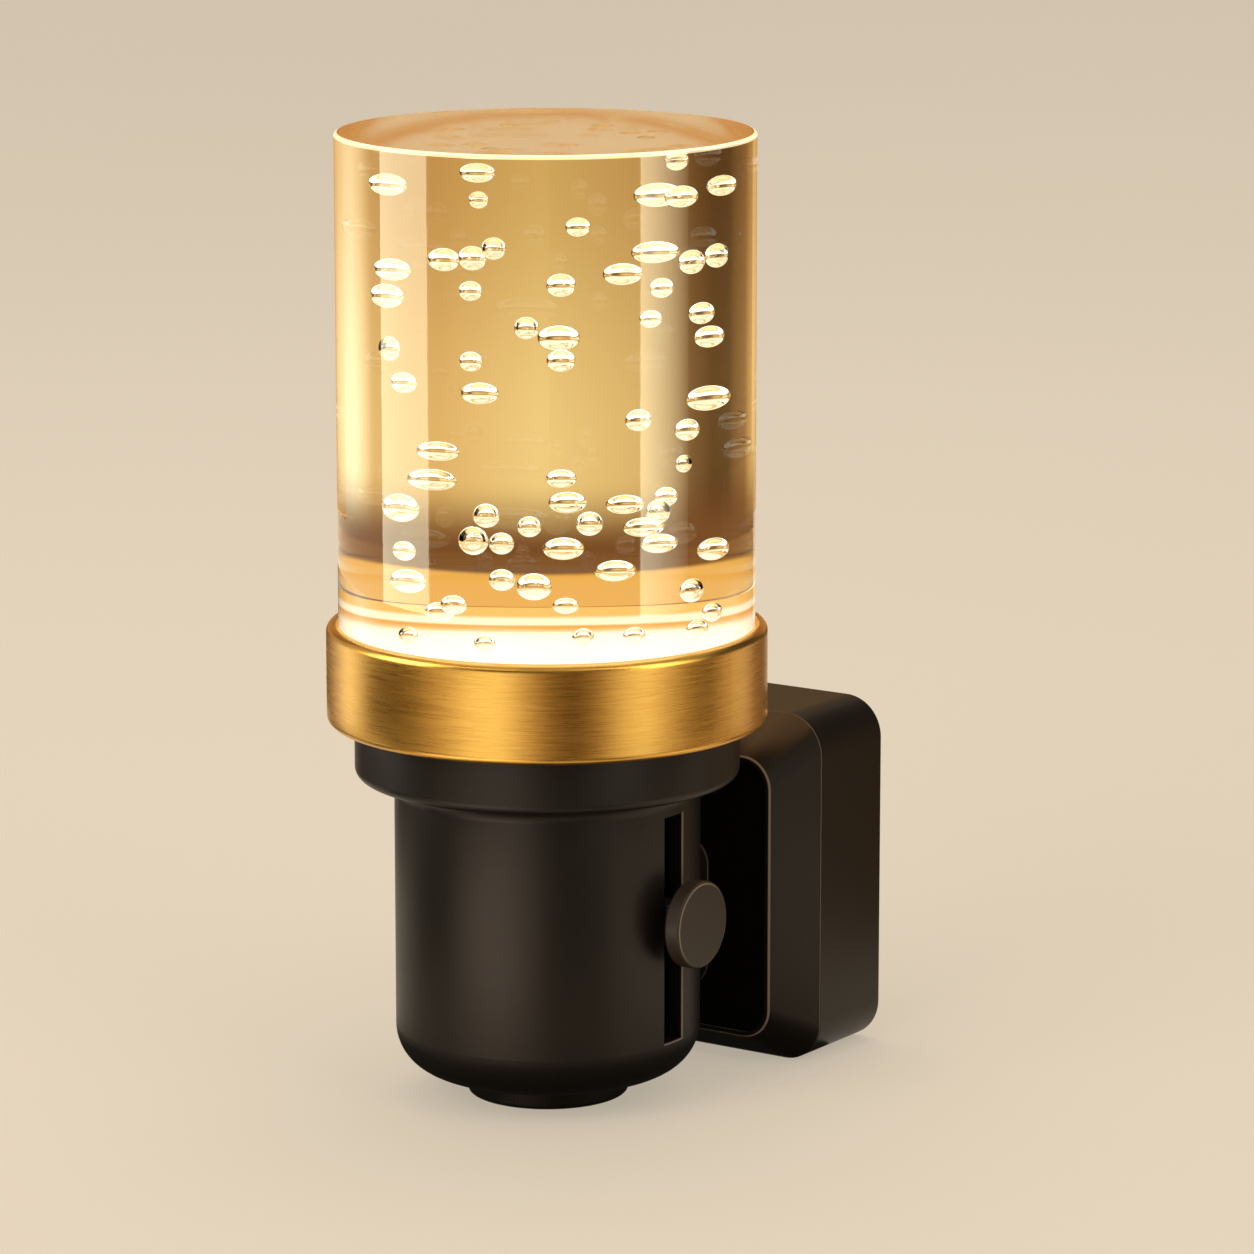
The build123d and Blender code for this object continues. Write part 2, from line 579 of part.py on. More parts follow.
def lamp_body():
    """The round shell with its collar, the dimmer slot, rails for the board and bosses for the neck."""
    shell = turned([
        (0, body_bottom, 0),
        (body_r, body_bottom, BODY_BOTTOM_R),
        (body_r, collar_bottom, COLLAR_ROOT_R),
        (collar_r, collar_bottom, COLLAR_EDGE_R),
        (collar_r, collar_top, 0),
        (0, collar_top, 0),
    ])
    cavity = turned([
        (0, body_floor, 0),
        (body_inner_r, body_floor, BODY_BOTTOM_R - BODY_WALL),
        (body_inner_r, collar_top + CUT_PAST, 0),
        (0, collar_top + CUT_PAST, 0),
    ])
    body = cut_slot(shell - cavity)
    body += shell & (dimmer_rails() + neck_bosses())
    pilot_bottom = spreader_top - SPREADER_SCREW_LENGTH - SCREW_GAP
    for x, across in spreader_screw_places():
        body -= standing_rod(x, across, pilot_bottom, collar_top + CUT_PAST, screw_hole_d)
    body -= standing_rod(0, 0, cap_bottom, 0, CAP_SPIGOT_D + 2 * FIT_GAP)
    return drill_neck_holes(body)


def cut_slot(shell):
    """The upright dimmer slot in the right side of the body, with a bevel round its mouth."""
    depth = (body_inner_r - BODY_WALL, body_r + BODY_WALL)
    shell -= lamp_block(depth, around(0, slot_width), (slot_bottom, slot_top))
    mouth = [edge for edge in shell.edges() if on_slot_mouth(edge.center())]
    return chamfer(mouth, SLOT_CHAMFER)


def on_slot_mouth(point):
    """Whether a point is the middle of an edge between the slot and the outside of the body."""
    across = point.Y + lamp_axis_out
    on_outside = abs(sqrt(point.X ** 2 + across ** 2) - body_r) < FIT_GAP
    on_side = abs(abs(across) - slot_width / 2) < FIT_GAP
    on_end = abs(abs(point.Z - slot_middle) - slot_length / 2) < FIT_GAP and abs(across) < FIT_GAP
    return point.X > 0 and on_outside and (on_side or on_end)


def dimmer_rails():
    """Two upright rails inside the body, with grooves that hold the edges of the dimmer board."""
    rail_x = (dimmer_board_back - RAIL_LIP, dimmer_board_front + RAIL_LIP)
    groove_x = (dimmer_board_back - FIT_GAP, dimmer_board_front + FIT_GAP)
    rails = Part()
    for side in (-1, 1):
        rail_across = (side * (dimmer_board_half - RAIL_GRIP), side * body_r)
        groove_across = (0, side * (dimmer_board_half + FIT_GAP))
        rail = lamp_block(rail_x, rail_across, (body_floor, dimmer_board_top))
        rails += rail - lamp_block(groove_x, groove_across, (dimmer_board_bottom, dimmer_board_top))
    return rails


def neck_bosses():
    """Two short bosses inside the body that take the ends of the neck screws."""
    depth = BODY_WALL + NECK_BOSS_DEPTH
    bosses = Part()
    for x, z in neck_screw_places():
        bosses += level_rod(x, z, neck_boss_out - depth, depth, NECK_BOSS_D)
    return bosses


def bottom_cap():
    """The round cap under the body, with a shadow groove and a spigot up through the floor."""
    groove_r = CAP_D / 2 - CAP_GROOVE_DEPTH
    groove_bottom = body_bottom - CAP_GROOVE_HEIGHT
    spigot_top = body_floor + NUT_HEIGHT
    return turned([
        (0, cap_bottom, 0),
        (CAP_D / 2, cap_bottom, CAP_EDGE_R),
        (CAP_D / 2, groove_bottom, 0),
        (groove_r, groove_bottom, 0),
        (groove_r, body_bottom, 0),
        (CAP_SPIGOT_D / 2, body_bottom, 0),
        (CAP_SPIGOT_D / 2, spigot_top, 0),
        (0, spigot_top, 0),
    ])


def cap_nut():
    """The six-sided nut on the cap's spigot, inside the body."""
    outline = RegularPolygon(NUT_WIDTH / 2, NUT_SIDES, major_radius=False)
    outline -= Circle(CAP_SPIGOT_D / 2 + FIT_GAP)
    return Pos(0, -lamp_axis_out, body_floor) * extrude(outline, NUT_HEIGHT)


def slide_knob():
    """The round knob, with a socket in its back for the lever."""
    knob = Cylinder(KNOB_D / 2, KNOB_THICKNESS)
    knob = fillet(knob.edges().filter_by(GeomType.CIRCLE), KNOB_EDGE_R)
    knob = Pos((knob_back + knob_front) / 2, -lamp_axis_out, knob_rise) * Rot(0, 90, 0) * knob
    socket = (knob_back - CUT_PAST, knob_back + KNOB_SOCKET)
    return knob - lamp_block(socket, around(0, LEVER_WIDTH), around(knob_rise, LEVER_HEIGHT))


def slider_lever():
    """The flat stem from the carriage through the slot to the knob."""
    ends = (carriage_front - LEVER_SOCKET, knob_back + KNOB_SOCKET)
    return lamp_block(ends, around(0, LEVER_WIDTH), around(knob_rise, LEVER_HEIGHT))


def slider_carriage():
    """The block that slides inside the dimmer's frame and carries the lever and the wiper."""
    side = around(0, FRAME_WIDTH - 2 * (FRAME_SHEET + CARRIAGE_GAP))
    carriage = lamp_block((carriage_back, carriage_front), side, around(knob_rise, CARRIAGE_HEIGHT))
    socket = (carriage_front - LEVER_SOCKET, carriage_front + CUT_PAST)
    return carriage - lamp_block(socket, around(0, LEVER_WIDTH), around(knob_rise, LEVER_HEIGHT))


def wiper_contact():
    """A sheet spring on the back of the carriage with two fingers that run along the track."""
    height = around(knob_rise, WIPER_HEIGHT)
    sheet_back = carriage_back - WIPER_SHEET
    wiper = lamp_block((sheet_back, carriage_back), around(0, WIPER_WIDTH), height)
    for side in (-1, 1):
        finger_across = around(side * (WIPER_WIDTH - WIPER_FINGER_WIDTH) / 2, WIPER_FINGER_WIDTH)
        wiper += lamp_block((track_front + WIPER_GAP, sheet_back), finger_across, height)
    return wiper


def dimmer_frame():
    """The folded sheet cover of the dimmer, open towards the board, with a slot for the lever."""
    length = around(slot_middle, frame_length)
    inner_length = around(slot_middle, frame_length - 2 * FRAME_SHEET)
    frame = lamp_block((dimmer_board_front, frame_front), around(0, FRAME_WIDTH), length)
    hollow_x = (dimmer_board_front - CUT_PAST, frame_front - FRAME_SHEET)
    frame -= lamp_block(hollow_x, around(0, FRAME_WIDTH - 2 * FRAME_SHEET), inner_length)
    slot_x = (frame_front - FRAME_SHEET - CUT_PAST, frame_front + CUT_PAST)
    return frame - lamp_block(slot_x, around(0, slot_width), (slot_bottom, slot_top))


def dimmer_track():
    """The resistance strip on the board, under the frame."""
    shrink = 2 * (FRAME_SHEET + FIT_GAP)
    side = around(0, FRAME_WIDTH - shrink)
    return lamp_block((dimmer_board_front, track_front), side, around(slot_middle, frame_length - shrink))


def dimmer_board():
    """The upright board that stands in the two rails."""
    board_x = (dimmer_board_back, dimmer_board_front)
    return lamp_block(board_x, around(0, 2 * dimmer_board_half), (dimmer_board_bottom, dimmer_board_top))


def trim_ring():
    """The bright ring round the foot of the crystal, with a web that sits on the collar."""
    ring = turned([
        (web_bore_r, collar_top, 0),
        (ring_r, collar_top, RING_EDGE_R),
        (ring_r, ring_top, RING_EDGE_R),
        (ring_bore_r, ring_top, RING_LIP_R),
        (ring_bore_r, web_top, 0),
        (web_bore_r, web_top, 0),
    ])
    return drill_spreader_holes(ring)


def drill_spreader_holes(piece):
    """The holes for the screws that clamp the spreader and the ring to the collar."""
    for x, across in spreader_screw_places():
        piece -= standing_rod(x, across, collar_top - CUT_PAST, spreader_top + CUT_PAST, screw_hole_d)
    return piece


def drill_lead_holes(piece):
    """The two holes for the leads of the light board."""
    bottom = web_top - CUT_PAST
    top = led_board_top + CUT_PAST
    for across in led_lead_places().values():
        piece -= standing_rod(led_lead_x, across, bottom, top, lead_hole_d)
    return piece


def heat_spreader():
    """The metal disc that carries the light board and clamps the ring."""
    disc = standing_rod(0, 0, web_top, spreader_top, 2 * seat_r)
    return drill_lead_holes(drill_spreader_holes(disc))


def led_board():
    return drill_lead_holes(standing_rod(0, 0, spreader_top, led_board_top, 2 * led_board_r))


def led_chips():
    """A circle of small square lights on the light board."""
    side = around(0, LED_SIDE)
    chip = block(side, side, (led_board_top, led_board_top + LED_HEIGHT))
    places = PolarLocations(LED_CIRCLE_D / 2, LED_COUNT)
    return Compound([Pos(0, -lamp_axis_out, 0) * place * chip for place in places])


def led_solder():
    """The solder pads that end the two leads on top of the light board."""
    top = led_board_top + SOLDER_HEIGHT
    pads = []
    for across in led_lead_places().values():
        pads.append(standing_rod(led_lead_x, across, led_board_top, top, SOLDER_D))
    return Compound(pads)


def reflector_cup():
    """The white ring that leans outward from the light board up to the diffuser."""
    return turned([
        (reflector_foot_r, spreader_top, 0),
        (seat_r, spreader_top, 0),
        (seat_r, diffuser_bottom, 0),
        (seat_r - REFLECTOR_LIP_WALL, diffuser_bottom, 0),
    ])


def diffuser_disc():
    return standing_rod(0, 0, diffuser_bottom, crystal_bottom, 2 * seat_r)


def bubble_place(across, up, deep):
    """Where a bubble lies along the line of sight, which the crystal bends at its surface."""
    bend = asin(across) - asin(across / CRYSTAL_INDEX)
    right = crystal_r * (across - deep * sin(bend))
    away = crystal_r * (deep * cos(bend) - cos(asin(across)))
    height = ring_top + up * (crystal_top - ring_top) - deep * crystal_r * SIGHT_FALL_SHARE
    return Pos(0, -lamp_axis_out, 0) * Rot(0, 0, SIGHT_TURN) * Pos(right, away, height)


def crystal_column():
    """The solid clear column with its trapped bubbles."""
    column = turned([
        (0, crystal_bottom, 0),
        (crystal_r, crystal_bottom, CRYSTAL_EDGE_R),
        (crystal_r, crystal_top, CRYSTAL_EDGE_R),
        (0, crystal_top, 0),
    ])
    bubbles = []
    for across, up, deep, size in BUBBLE_SHARES:
        bubbles.append(bubble_place(across, up, deep) * Sphere(size * BUBBLE_D / 2))
    return column - bubbles


def supply_lead(height):
    """A lead from the driver board through the neck to the back of the dimmer board."""
    turn_y = SUPPLY_LEAD_SHORT - lamp_axis_out
    end = (dimmer_board_back, turn_y, height)
    return lead([(0, -board_front_out, height), (0, turn_y, height), end])


def led_lead(across):
    """A lead from the back of the dimmer board up to the light board."""
    y = across - lamp_axis_out
    start = (dimmer_board_back, y, led_lead_rise)
    return lead([start, (led_lead_x, y, led_lead_rise), (led_lead_x, y, led_board_top)])


def screws(places, length):
    """A group of like screws."""
    return Compound([place * screw(length) for place in places])


def case_screws():
    places = [toward_wall(x, z, CASE_SCREW_SINK) for x, z in case_screw_places()]
    return screws(places, CASE_SCREW_LENGTH)


def neck_screws():
    places = [toward_wall(x, z, web_back_out) for x, z in neck_screw_places()]
    return screws(places, neck_screw_length)


def board_screws():
    places = [toward_room(x, z, board_front_out) for x, z in board_screw_places()]
    return screws(places, BOARD_SCREW_LENGTH)


def spreader_screws():
    places = [Pos(x, across - lamp_axis_out, spreader_top) for x, across in spreader_screw_places()]
    return screws(places, SPREADER_SCREW_LENGTH)


def pieces():
    """Every piece of the light by name."""
    makers = (
        crystal_column, trim_ring, diffuser_disc, reflector_cup, led_board, led_chips, led_solder,
        heat_spreader, spreader_screws, lamp_body, bottom_cap, cap_nut, slide_knob, slider_lever,
        slider_carriage, wiper_contact, dimmer_frame, dimmer_track, dimmer_board, neck_bracket,
        front_panel, plug_front_case, plug_rear_case, driver_board, film_capacitor,
        smoothing_capacitor, fuse_resistor, bridge_rectifier, driver_chip, case_screws, neck_screws,
        board_screws,
    )
    made = {make.__name__: make() for make in makers}
    made.update({name: blade(*place) for name, place in blade_places().items()})
    made.update({name: supply_lead(height) for name, height in supply_lead_heights().items()})
    made.update({name: led_lead(across) for name, across in led_lead_places().items()})
    return made


os.makedirs("parts", exist_ok=True)
for node, shape in pieces().items():
    export_step(shape, f"parts/{node}.step")
    print(node, "volume", round(shape.volume, 1), "mm3")
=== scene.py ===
# %% [markdown]
# # A plug-in night light, dressed in Blender
# Three things catch the eye on this light: a clear crystal column full of air bubbles, a brushed gold ring
# round its foot, and a satin black body with a plug behind it. The solids come packed from their CAD source,
# in metres, each one already in its place. This lesson leaves them there and gives each the finish of the
# real piece. Only the crystal is built again, because light bends through it and shows every flat facet.

# %% Load the packed light
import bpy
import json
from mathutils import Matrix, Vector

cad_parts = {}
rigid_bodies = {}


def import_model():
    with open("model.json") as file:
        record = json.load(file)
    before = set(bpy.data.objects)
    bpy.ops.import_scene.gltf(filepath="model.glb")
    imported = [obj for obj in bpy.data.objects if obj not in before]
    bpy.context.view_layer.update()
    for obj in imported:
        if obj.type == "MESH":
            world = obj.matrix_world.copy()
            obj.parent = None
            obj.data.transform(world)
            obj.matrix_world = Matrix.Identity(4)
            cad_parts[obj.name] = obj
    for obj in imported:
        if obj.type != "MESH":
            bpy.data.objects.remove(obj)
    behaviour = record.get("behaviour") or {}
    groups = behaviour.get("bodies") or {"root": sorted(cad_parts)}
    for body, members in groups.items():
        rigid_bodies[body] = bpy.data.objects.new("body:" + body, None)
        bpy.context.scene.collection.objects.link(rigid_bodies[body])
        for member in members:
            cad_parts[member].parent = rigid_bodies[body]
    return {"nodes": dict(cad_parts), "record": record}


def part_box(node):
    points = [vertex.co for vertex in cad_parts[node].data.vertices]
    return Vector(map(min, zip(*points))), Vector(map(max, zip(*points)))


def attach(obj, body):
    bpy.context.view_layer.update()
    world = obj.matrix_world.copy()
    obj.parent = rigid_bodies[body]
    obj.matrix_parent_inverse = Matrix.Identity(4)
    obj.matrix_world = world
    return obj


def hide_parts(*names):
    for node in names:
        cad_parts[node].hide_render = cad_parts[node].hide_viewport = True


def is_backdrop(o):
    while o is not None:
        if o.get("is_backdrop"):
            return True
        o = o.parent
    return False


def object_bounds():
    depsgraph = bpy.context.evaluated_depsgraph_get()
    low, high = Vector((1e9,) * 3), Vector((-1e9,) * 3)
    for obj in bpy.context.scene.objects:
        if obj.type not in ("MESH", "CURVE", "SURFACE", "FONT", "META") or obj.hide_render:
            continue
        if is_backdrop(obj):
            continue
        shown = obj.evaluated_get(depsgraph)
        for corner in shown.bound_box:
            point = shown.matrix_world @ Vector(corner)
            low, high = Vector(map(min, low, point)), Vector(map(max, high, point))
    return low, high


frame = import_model()
cad_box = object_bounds()
print("the light measures", [round(1000 * (high - low), 1) for low, high in zip(*cad_box)], "mm")

# %% [markdown]
# ## The camera
# The photograph was taken from the front right and a little above, with a long lens, so the upright edges
# stay almost parallel. The camera's turn, rise and distance were fitted to the light's own outlines. They are
# written here as angles round the light, which is easier to read and to change than a place and a rotation.

# %% Point the camera at the light
from math import cos, pi, radians, sin

import bpy
from mathutils import Vector

MM = 0.001
PHOTO_TURN, PHOTO_RISE = 34.25, 11.51
PHOTO_DISTANCE = 678.7 * MM
PHOTO_MIDDLE = Vector((11.675, -42.31, 41.758)) * MM
SENSOR_WIDTH, LENS_LENGTH = 36.0, 163.3


def direction(turn, rise):
    """A step of length one towards a turn round the light and a rise above the floor, in degrees."""
    turn, rise = radians(turn), radians(rise)
    return Vector((sin(turn) * cos(rise), -cos(turn) * cos(rise), sin(rise)))


def put(name, data):
    """A new object in the scene."""
    made = bpy.data.objects.new(name, data)
    bpy.context.scene.collection.objects.link(made)
    return made


camera = put("photo_camera", bpy.data.cameras.new("photo_camera"))
camera.data.sensor_width, camera.data.lens = SENSOR_WIDTH, LENS_LENGTH
camera.location = PHOTO_MIDDLE + PHOTO_DISTANCE * direction(PHOTO_TURN, PHOTO_RISE)
camera.rotation_euler = direction(PHOTO_TURN, PHOTO_RISE).to_track_quat("Z", "Y").to_euler()
bpy.context.scene.camera = camera
bpy.context.scene.view_settings.view_transform = "Standard"
print("camera", [round(place, 3) for place in camera.location], "m")

# %% [markdown]
# ## A short way to write shader maths
# A finish is a web of nodes, and wiring it link by link hides the idea. Two small classes keep it readable. A
# Wire is the output of a node that can be added and multiplied like a number. A Finish is one material with
# one method that adds any node. The rest of its methods are the few moves that come up in every finish.

# %% A wire that takes part in sums
class Wire:
    """The output of a node, so that a finish's maths reads as plain sums."""

    def __init__(self, finish, socket):
        self.finish, self.socket = finish, socket

    def __add__(self, other):
        return self.finish.maths("ADD", self, other)

    def __sub__(self, other):
        return self.finish.maths("SUBTRACT", self, other)

    def __rsub__(self, other):
        return self.finish.maths("SUBTRACT", other, self)

    def __mul__(self, other):
        return self.finish.maths("MULTIPLY", self, other)

    def __truediv__(self, other):
        return self.finish.maths("DIVIDE", self, other)

    __radd__, __rmul__ = __add__, __mul__


print("sums on wires:", [name for name in vars(Wire) if name.startswith("__r")])

# %% A finish that is built node by node
class Finish:
    """One material, or the room's light where its tree is given."""

    def __init__(self, name, tree=None):
        self.material = None if tree else bpy.data.materials.new(name)
        if self.material:
            self.material.use_nodes = True
        self.tree = tree or self.material.node_tree
        self.tree.nodes.clear()

    def node(self, kind, inputs, output=0, stops=(), **settings):
        """One node: first its settings and a ramp's stops, then the values or links of its sockets."""
        made = self.tree.nodes.new(kind)
        for name, value in settings.items():
            setattr(made, name, value)
        for number, (place, colour) in enumerate(stops):
            ends = {0: 0, len(stops) - 1: -1}
            ramp = made.color_ramp.elements
            stop = ramp[ends[number]] if number in ends else ramp.new(place)
            stop.position, stop.color = place, (*colour, 1)
        for name, value in inputs.items():
            socket = made.inputs[name]
            if isinstance(value, Wire):
                self.tree.links.new(value.socket, socket)
            else:
                socket.default_value = (*value, 1) if socket.type == "RGBA" and len(value) == 3 else value
        return Wire(self, made.outputs[output]) if made.outputs else None

    def maths(self, operation, *terms):
        return self.node("ShaderNodeMath", dict(enumerate(terms)), operation=operation)

    def place(self):
        """Where a point is on the piece, in metres from the light's origin."""
        return self.node("ShaderNodeTexCoord", {}, "Object")

    def along(self, axis):
        """How far a point lies along one axis."""
        return self.node("ShaderNodeSeparateXYZ", {"Vector": self.place()}, axis)

    def noise(self, cells, detail=2.0):
        """Soft random values from 0 to 1, with so many cells to the metre along each axis."""
        stretched = self.node("ShaderNodeVectorMath", {0: self.place(), 1: cells}, operation="MULTIPLY")
        return self.node("ShaderNodeTexNoise", {"Vector": stretched, "Scale": 1.0, "Detail": detail})

    def circles(self, radius, scale, detail):
        """Soft random values that change with the distance from a middle alone."""
        inputs = {"W": radius, "Scale": scale, "Detail": detail}
        return self.node("ShaderNodeTexNoise", inputs, noise_dimensions="1D")

    def rise(self, value, low, high):
        """Goes softly from 0 to 1 as a value goes from low to high."""
        inputs = {"Value": value, "From Min": low, "From Max": high}
        return self.node("ShaderNodeMapRange", inputs, interpolation_type="SMOOTHSTEP")

    def mix(self, mask, first, second):
        """A colour that goes from the first to the second as the mask goes from 0 to 1."""
        return self.node("ShaderNodeMix", {0: mask, 6: first, 7: second}, 2, data_type="RGBA")

    def relief(self, height, strength, depth):
        return self.node("ShaderNodeBump", {"Height": height, "Strength": strength, "Distance": depth})

    def glow(self, colour, strength=1.0):
        """Ends the material in plain light of its own."""
        light = self.node("ShaderNodeEmission", {"Color": colour, "Strength": strength})
        self.node("ShaderNodeOutputMaterial", {"Surface": light})
        return self.material

    def surface(self, inside=None, **sockets):
        """Ends the material in one shader; a socket's name is written with _ for each space."""
        inputs = {name.replace("_", " "): value for name, value in sockets.items()}
        ends = {"Surface": self.node("ShaderNodeBsdfPrincipled", inputs), "Volume": inside}
        self.node("ShaderNodeOutputMaterial", {name: wire for name, wire in ends.items() if wire})
        return self.material


print("moves of a finish:", [name for name in vars(Finish) if not name.startswith("_")])

# %% [markdown]
# ## The floor
# A product photographer would stand the light on a pale sheet of warm paper, and the crystal gathers that warm
# white into its golden colour. The paper's colour has to come out as it is written, and the sheet has to keep
# the light's shadow, so half of what is seen of it is its own glow and half is lit.

# %% A pale floor
FLOOR_HALF = 6.0
FLOOR_GAP = 0.05 * MM
OWN_GLOW = 0.5
PAPER_CELLS = (3, 3, 3)
PAPER_DEEP, PAPER_PALE = (0.83, 0.73, 0.59), (0.86, 0.77, 0.63)
GLOW_SEEN_BY = ("Camera", "Glossy", "Transmission")


def warm_paper():
    finish = Finish("warm_paper")
    colour = finish.mix(finish.noise(PAPER_CELLS), PAPER_DEEP, PAPER_PALE)
    lit = finish.node("ShaderNodeBsdfDiffuse", {"Color": colour})
    glow = finish.node("ShaderNodeEmission", {"Color": colour, "Strength": 1.0})
    rays = [finish.node("ShaderNodeLightPath", {}, f"Is {kind} Ray") for kind in GLOW_SEEN_BY]
    seen = finish.maths("MINIMUM", rays[0] + rays[1] + rays[2], 1.0)
    shader = finish.node("ShaderNodeMixShader", {0: OWN_GLOW * seen, 1: lit, 2: glow})
    finish.node("ShaderNodeOutputMaterial", {"Surface": shader})
    return finish.material


floor_z = cad_box[0].z - FLOOR_GAP
corners = [(x * FLOOR_HALF, y * FLOOR_HALF, floor_z) for x, y in ((-1, -1), (1, -1), (1, 1), (-1, 1))]
sheet = bpy.data.meshes.new("floor")
sheet.from_pydata(corners, [], [(0, 1, 2, 3)])
sheet.materials.append(warm_paper())
put("floor", sheet)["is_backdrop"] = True
print("floor at", round(floor_z / MM, 2), "mm")

# %% [markdown]
# ## The lamps
# Large soft lamps stand round the light, two in front and one above, and the whole room gives a little warm light.
# A lamp's brightness is written for its face, so a larger lamp gives more light without looking brighter. The
# camera doesn't see the lamps themselves.

# %% Soft lamps round the light
ring_low, ring_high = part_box("trim_ring")
axis = (ring_low + ring_high) / 2
LAMP_AIM_HEIGHT = 40 * MM
lamp_middle = Vector((axis.x, axis.y, LAMP_AIM_HEIGHT))
LAMP_COLOUR = (1.0, 0.9, 0.78)
ROOM_COLOUR, ROOM_STRENGTH = (1.0, 0.89, 0.75), 0.5


def soft_lamp(name, turn, rise, distance, size, brightness):
    """A soft square lamp that faces the light from a turn beside the camera and a rise above the floor."""
    lamp = put(name, bpy.data.lights.new(name, "AREA"))
    lamp.data.shape = "RECTANGLE"
    lamp.data.size = lamp.data.size_y = size
    lamp.data.energy = brightness * pi * size * size
    lamp.data.color = LAMP_COLOUR
    aim = direction(PHOTO_TURN + turn, rise)
    lamp.location = lamp_middle + distance * aim
    lamp.rotation_euler = aim.to_track_quat("Z", "Y").to_euler()
    lamp.visible_camera = False


soft_lamp("front_left_box", turn=-42, rise=30, distance=0.8, size=0.5, brightness=2.6)
soft_lamp("front_right_box", turn=40, rise=40, distance=0.9, size=0.4, brightness=1.4)
soft_lamp("overhead_box", turn=180, rise=68, distance=0.8, size=0.6, brightness=1.4)

world = bpy.data.worlds.new("soft_room")
bpy.context.scene.world = world
world.use_nodes = True
room = Finish("soft_room", world.node_tree)
sky = room.node("ShaderNodeBackground", {"Color": ROOM_COLOUR, "Strength": ROOM_STRENGTH})
room.node("ShaderNodeOutputWorld", {"Surface": sky})

# %% [markdown]
# ## Cards for glass and metal
# Glass and metal have no colour of their own to speak of: they show what stands round them. So a photographer
# puts up bright and dark cards. Each card here is a piece of a round screen about the light, and only one kind of
# ray can see it: reflected rays, for shiny pieces, or bent rays, for the crystal. So it never shows itself.

# %% A card that one kind of ray can see
RAY_KINDS = ("camera", "diffuse", "glossy", "transmission", "shadow", "volume_scatter")
CARD_FOOT = 0.2 * MM


def card_share(finish):
    """How far a point lies from a card's first side to its last, from 0 to 1."""
    return finish.node("ShaderNodeAttribute", {}, "Fac", attribute_name="share")


def plain_glow(name, colour, brightness, fade=0.0):
    """A card's light, which falls off by the given share from its first side to its last."""
    finish = Finish(name)
    kept = 1.0 - fade * card_share(finish)
    shown = finish.node("ShaderNodeVectorMath", {0: colour, "Scale": kept}, operation="SCALE")
    return finish.glow(shown, brightness)


def put_card(name, points, faces, shares, glow, rays):
    """A card that only one kind of ray can see."""
    panel = bpy.data.meshes.new(name)
    panel.from_pydata(points, [], faces)
    panel.attributes.new("share", "FLOAT", "POINT").data.foreach_set("value", shares)
    panel.materials.append(glow)
    shown = put(name, panel)
    for kind in RAY_KINDS:
        setattr(shown, f"visible_{kind}", kind == rays)
    shown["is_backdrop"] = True


def bent_card(name, turns, outline, glow, rays, steps=12):
    """A card bent round the light from one turn beside the camera to another.

    Its outline is a row of distances from the lamp's axis and heights above the floor."""
    shares = [step / steps for step in range(steps + 1)]
    aims = [direction(PHOTO_TURN + turns[0] + (turns[1] - turns[0]) * share, 0) for share in shares]
    points = [(axis.x + out * aim.x, axis.y + out * aim.y, floor_z + up) for out, up in outline for aim in aims]
    row = steps + 1
    faces = [(low + step, low + step + 1, low + step + row + 1, low + step + row)
             for low in range(0, row * (len(outline) - 1), row) for step in range(steps)]
    put_card(name, points, faces, shares * len(outline), glow, rays)


def upright(distance, height):
    """The outline of a straight card that stands on the floor."""
    return (distance, CARD_FOOT), (distance, height)


def shiny_card(name, turns, brightness, outline, colour, fade=0.0):
    """A bent card that lays its streak on shiny pieces."""
    bent_card(name, turns, outline, plain_glow(name, colour, brightness, fade), "glossy")


def count_cards():
    return len([shown for shown in bpy.data.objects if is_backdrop(shown)])


print("floor and cards so far:", count_cards())

# %% [markdown]
# ## Bands on the ring
# The ring shows soft bright and dark bands. They could be lamps of their own, but lamps would light the other
# pieces too. So one low card close round the ring is printed with a row of bands. Each has a turn beside the
# camera and a brightness, and between two of them the light runs softly over. Dim bands are amber, and bright
# ones nearly white. Lower down the card stands further out, to leave room for the body's own cards.

# %% Put up the ring's cards
AMBER = (1.0, 0.6, 0.3)
RING_FAR, RING_NEAR = 0.13, 0.045
RING_CARD_STEP, RING_CARD_FOOT, RING_CARD_TOP = 39 * MM, 41.5 * MM, 59 * MM
RING_STEPS = 125
RING_BANDS = [
    (-148, 0.1), (-118, 0.1), (-104, 0.7), (-93, 1.6), (-85, 1.1), (-75, 0.15), (-62, 0.06), (-50, 0.18),
    (-37, 0.7), (-25, 1.35), (-16, 1.4), (-7, 0.75), (1, 0.28), (10, 0.08), (19, 0.3), (30, 1.05),
    (38, 1.3), (46, 0.85), (58, 0.25), (69, 0.12), (80, 0.65), (91, 0.85), (102, 0.4),
]
FIRST_BAND, LAST_BAND = RING_BANDS[0][0], RING_BANDS[-1][0]
BAND_STRENGTH = 2.0
WHITE_FROM = 1.3
DIM_GREEN, MORE_GREEN = 0.6, 0.42
DIM_BLUE, MORE_BLUE = 0.35, 0.62


def banded_glow():
    """The ring's bands as one ramp along the card; a ramp's colours end at 1, so the rest is in its strength."""
    finish = Finish("banded_glow")
    stops = []
    for turn, bright in RING_BANDS:
        white = min(1.0, bright / WHITE_FROM)
        red = bright / BAND_STRENGTH
        colour = (red, red * (DIM_GREEN + MORE_GREEN * white), red * (DIM_BLUE + MORE_BLUE * white))
        stops.append(((turn - FIRST_BAND) / (LAST_BAND - FIRST_BAND), colour))
    bands = finish.node("ShaderNodeValToRGB", {"Fac": card_share(finish)}, stops=stops)
    return finish.glow(bands, BAND_STRENGTH)


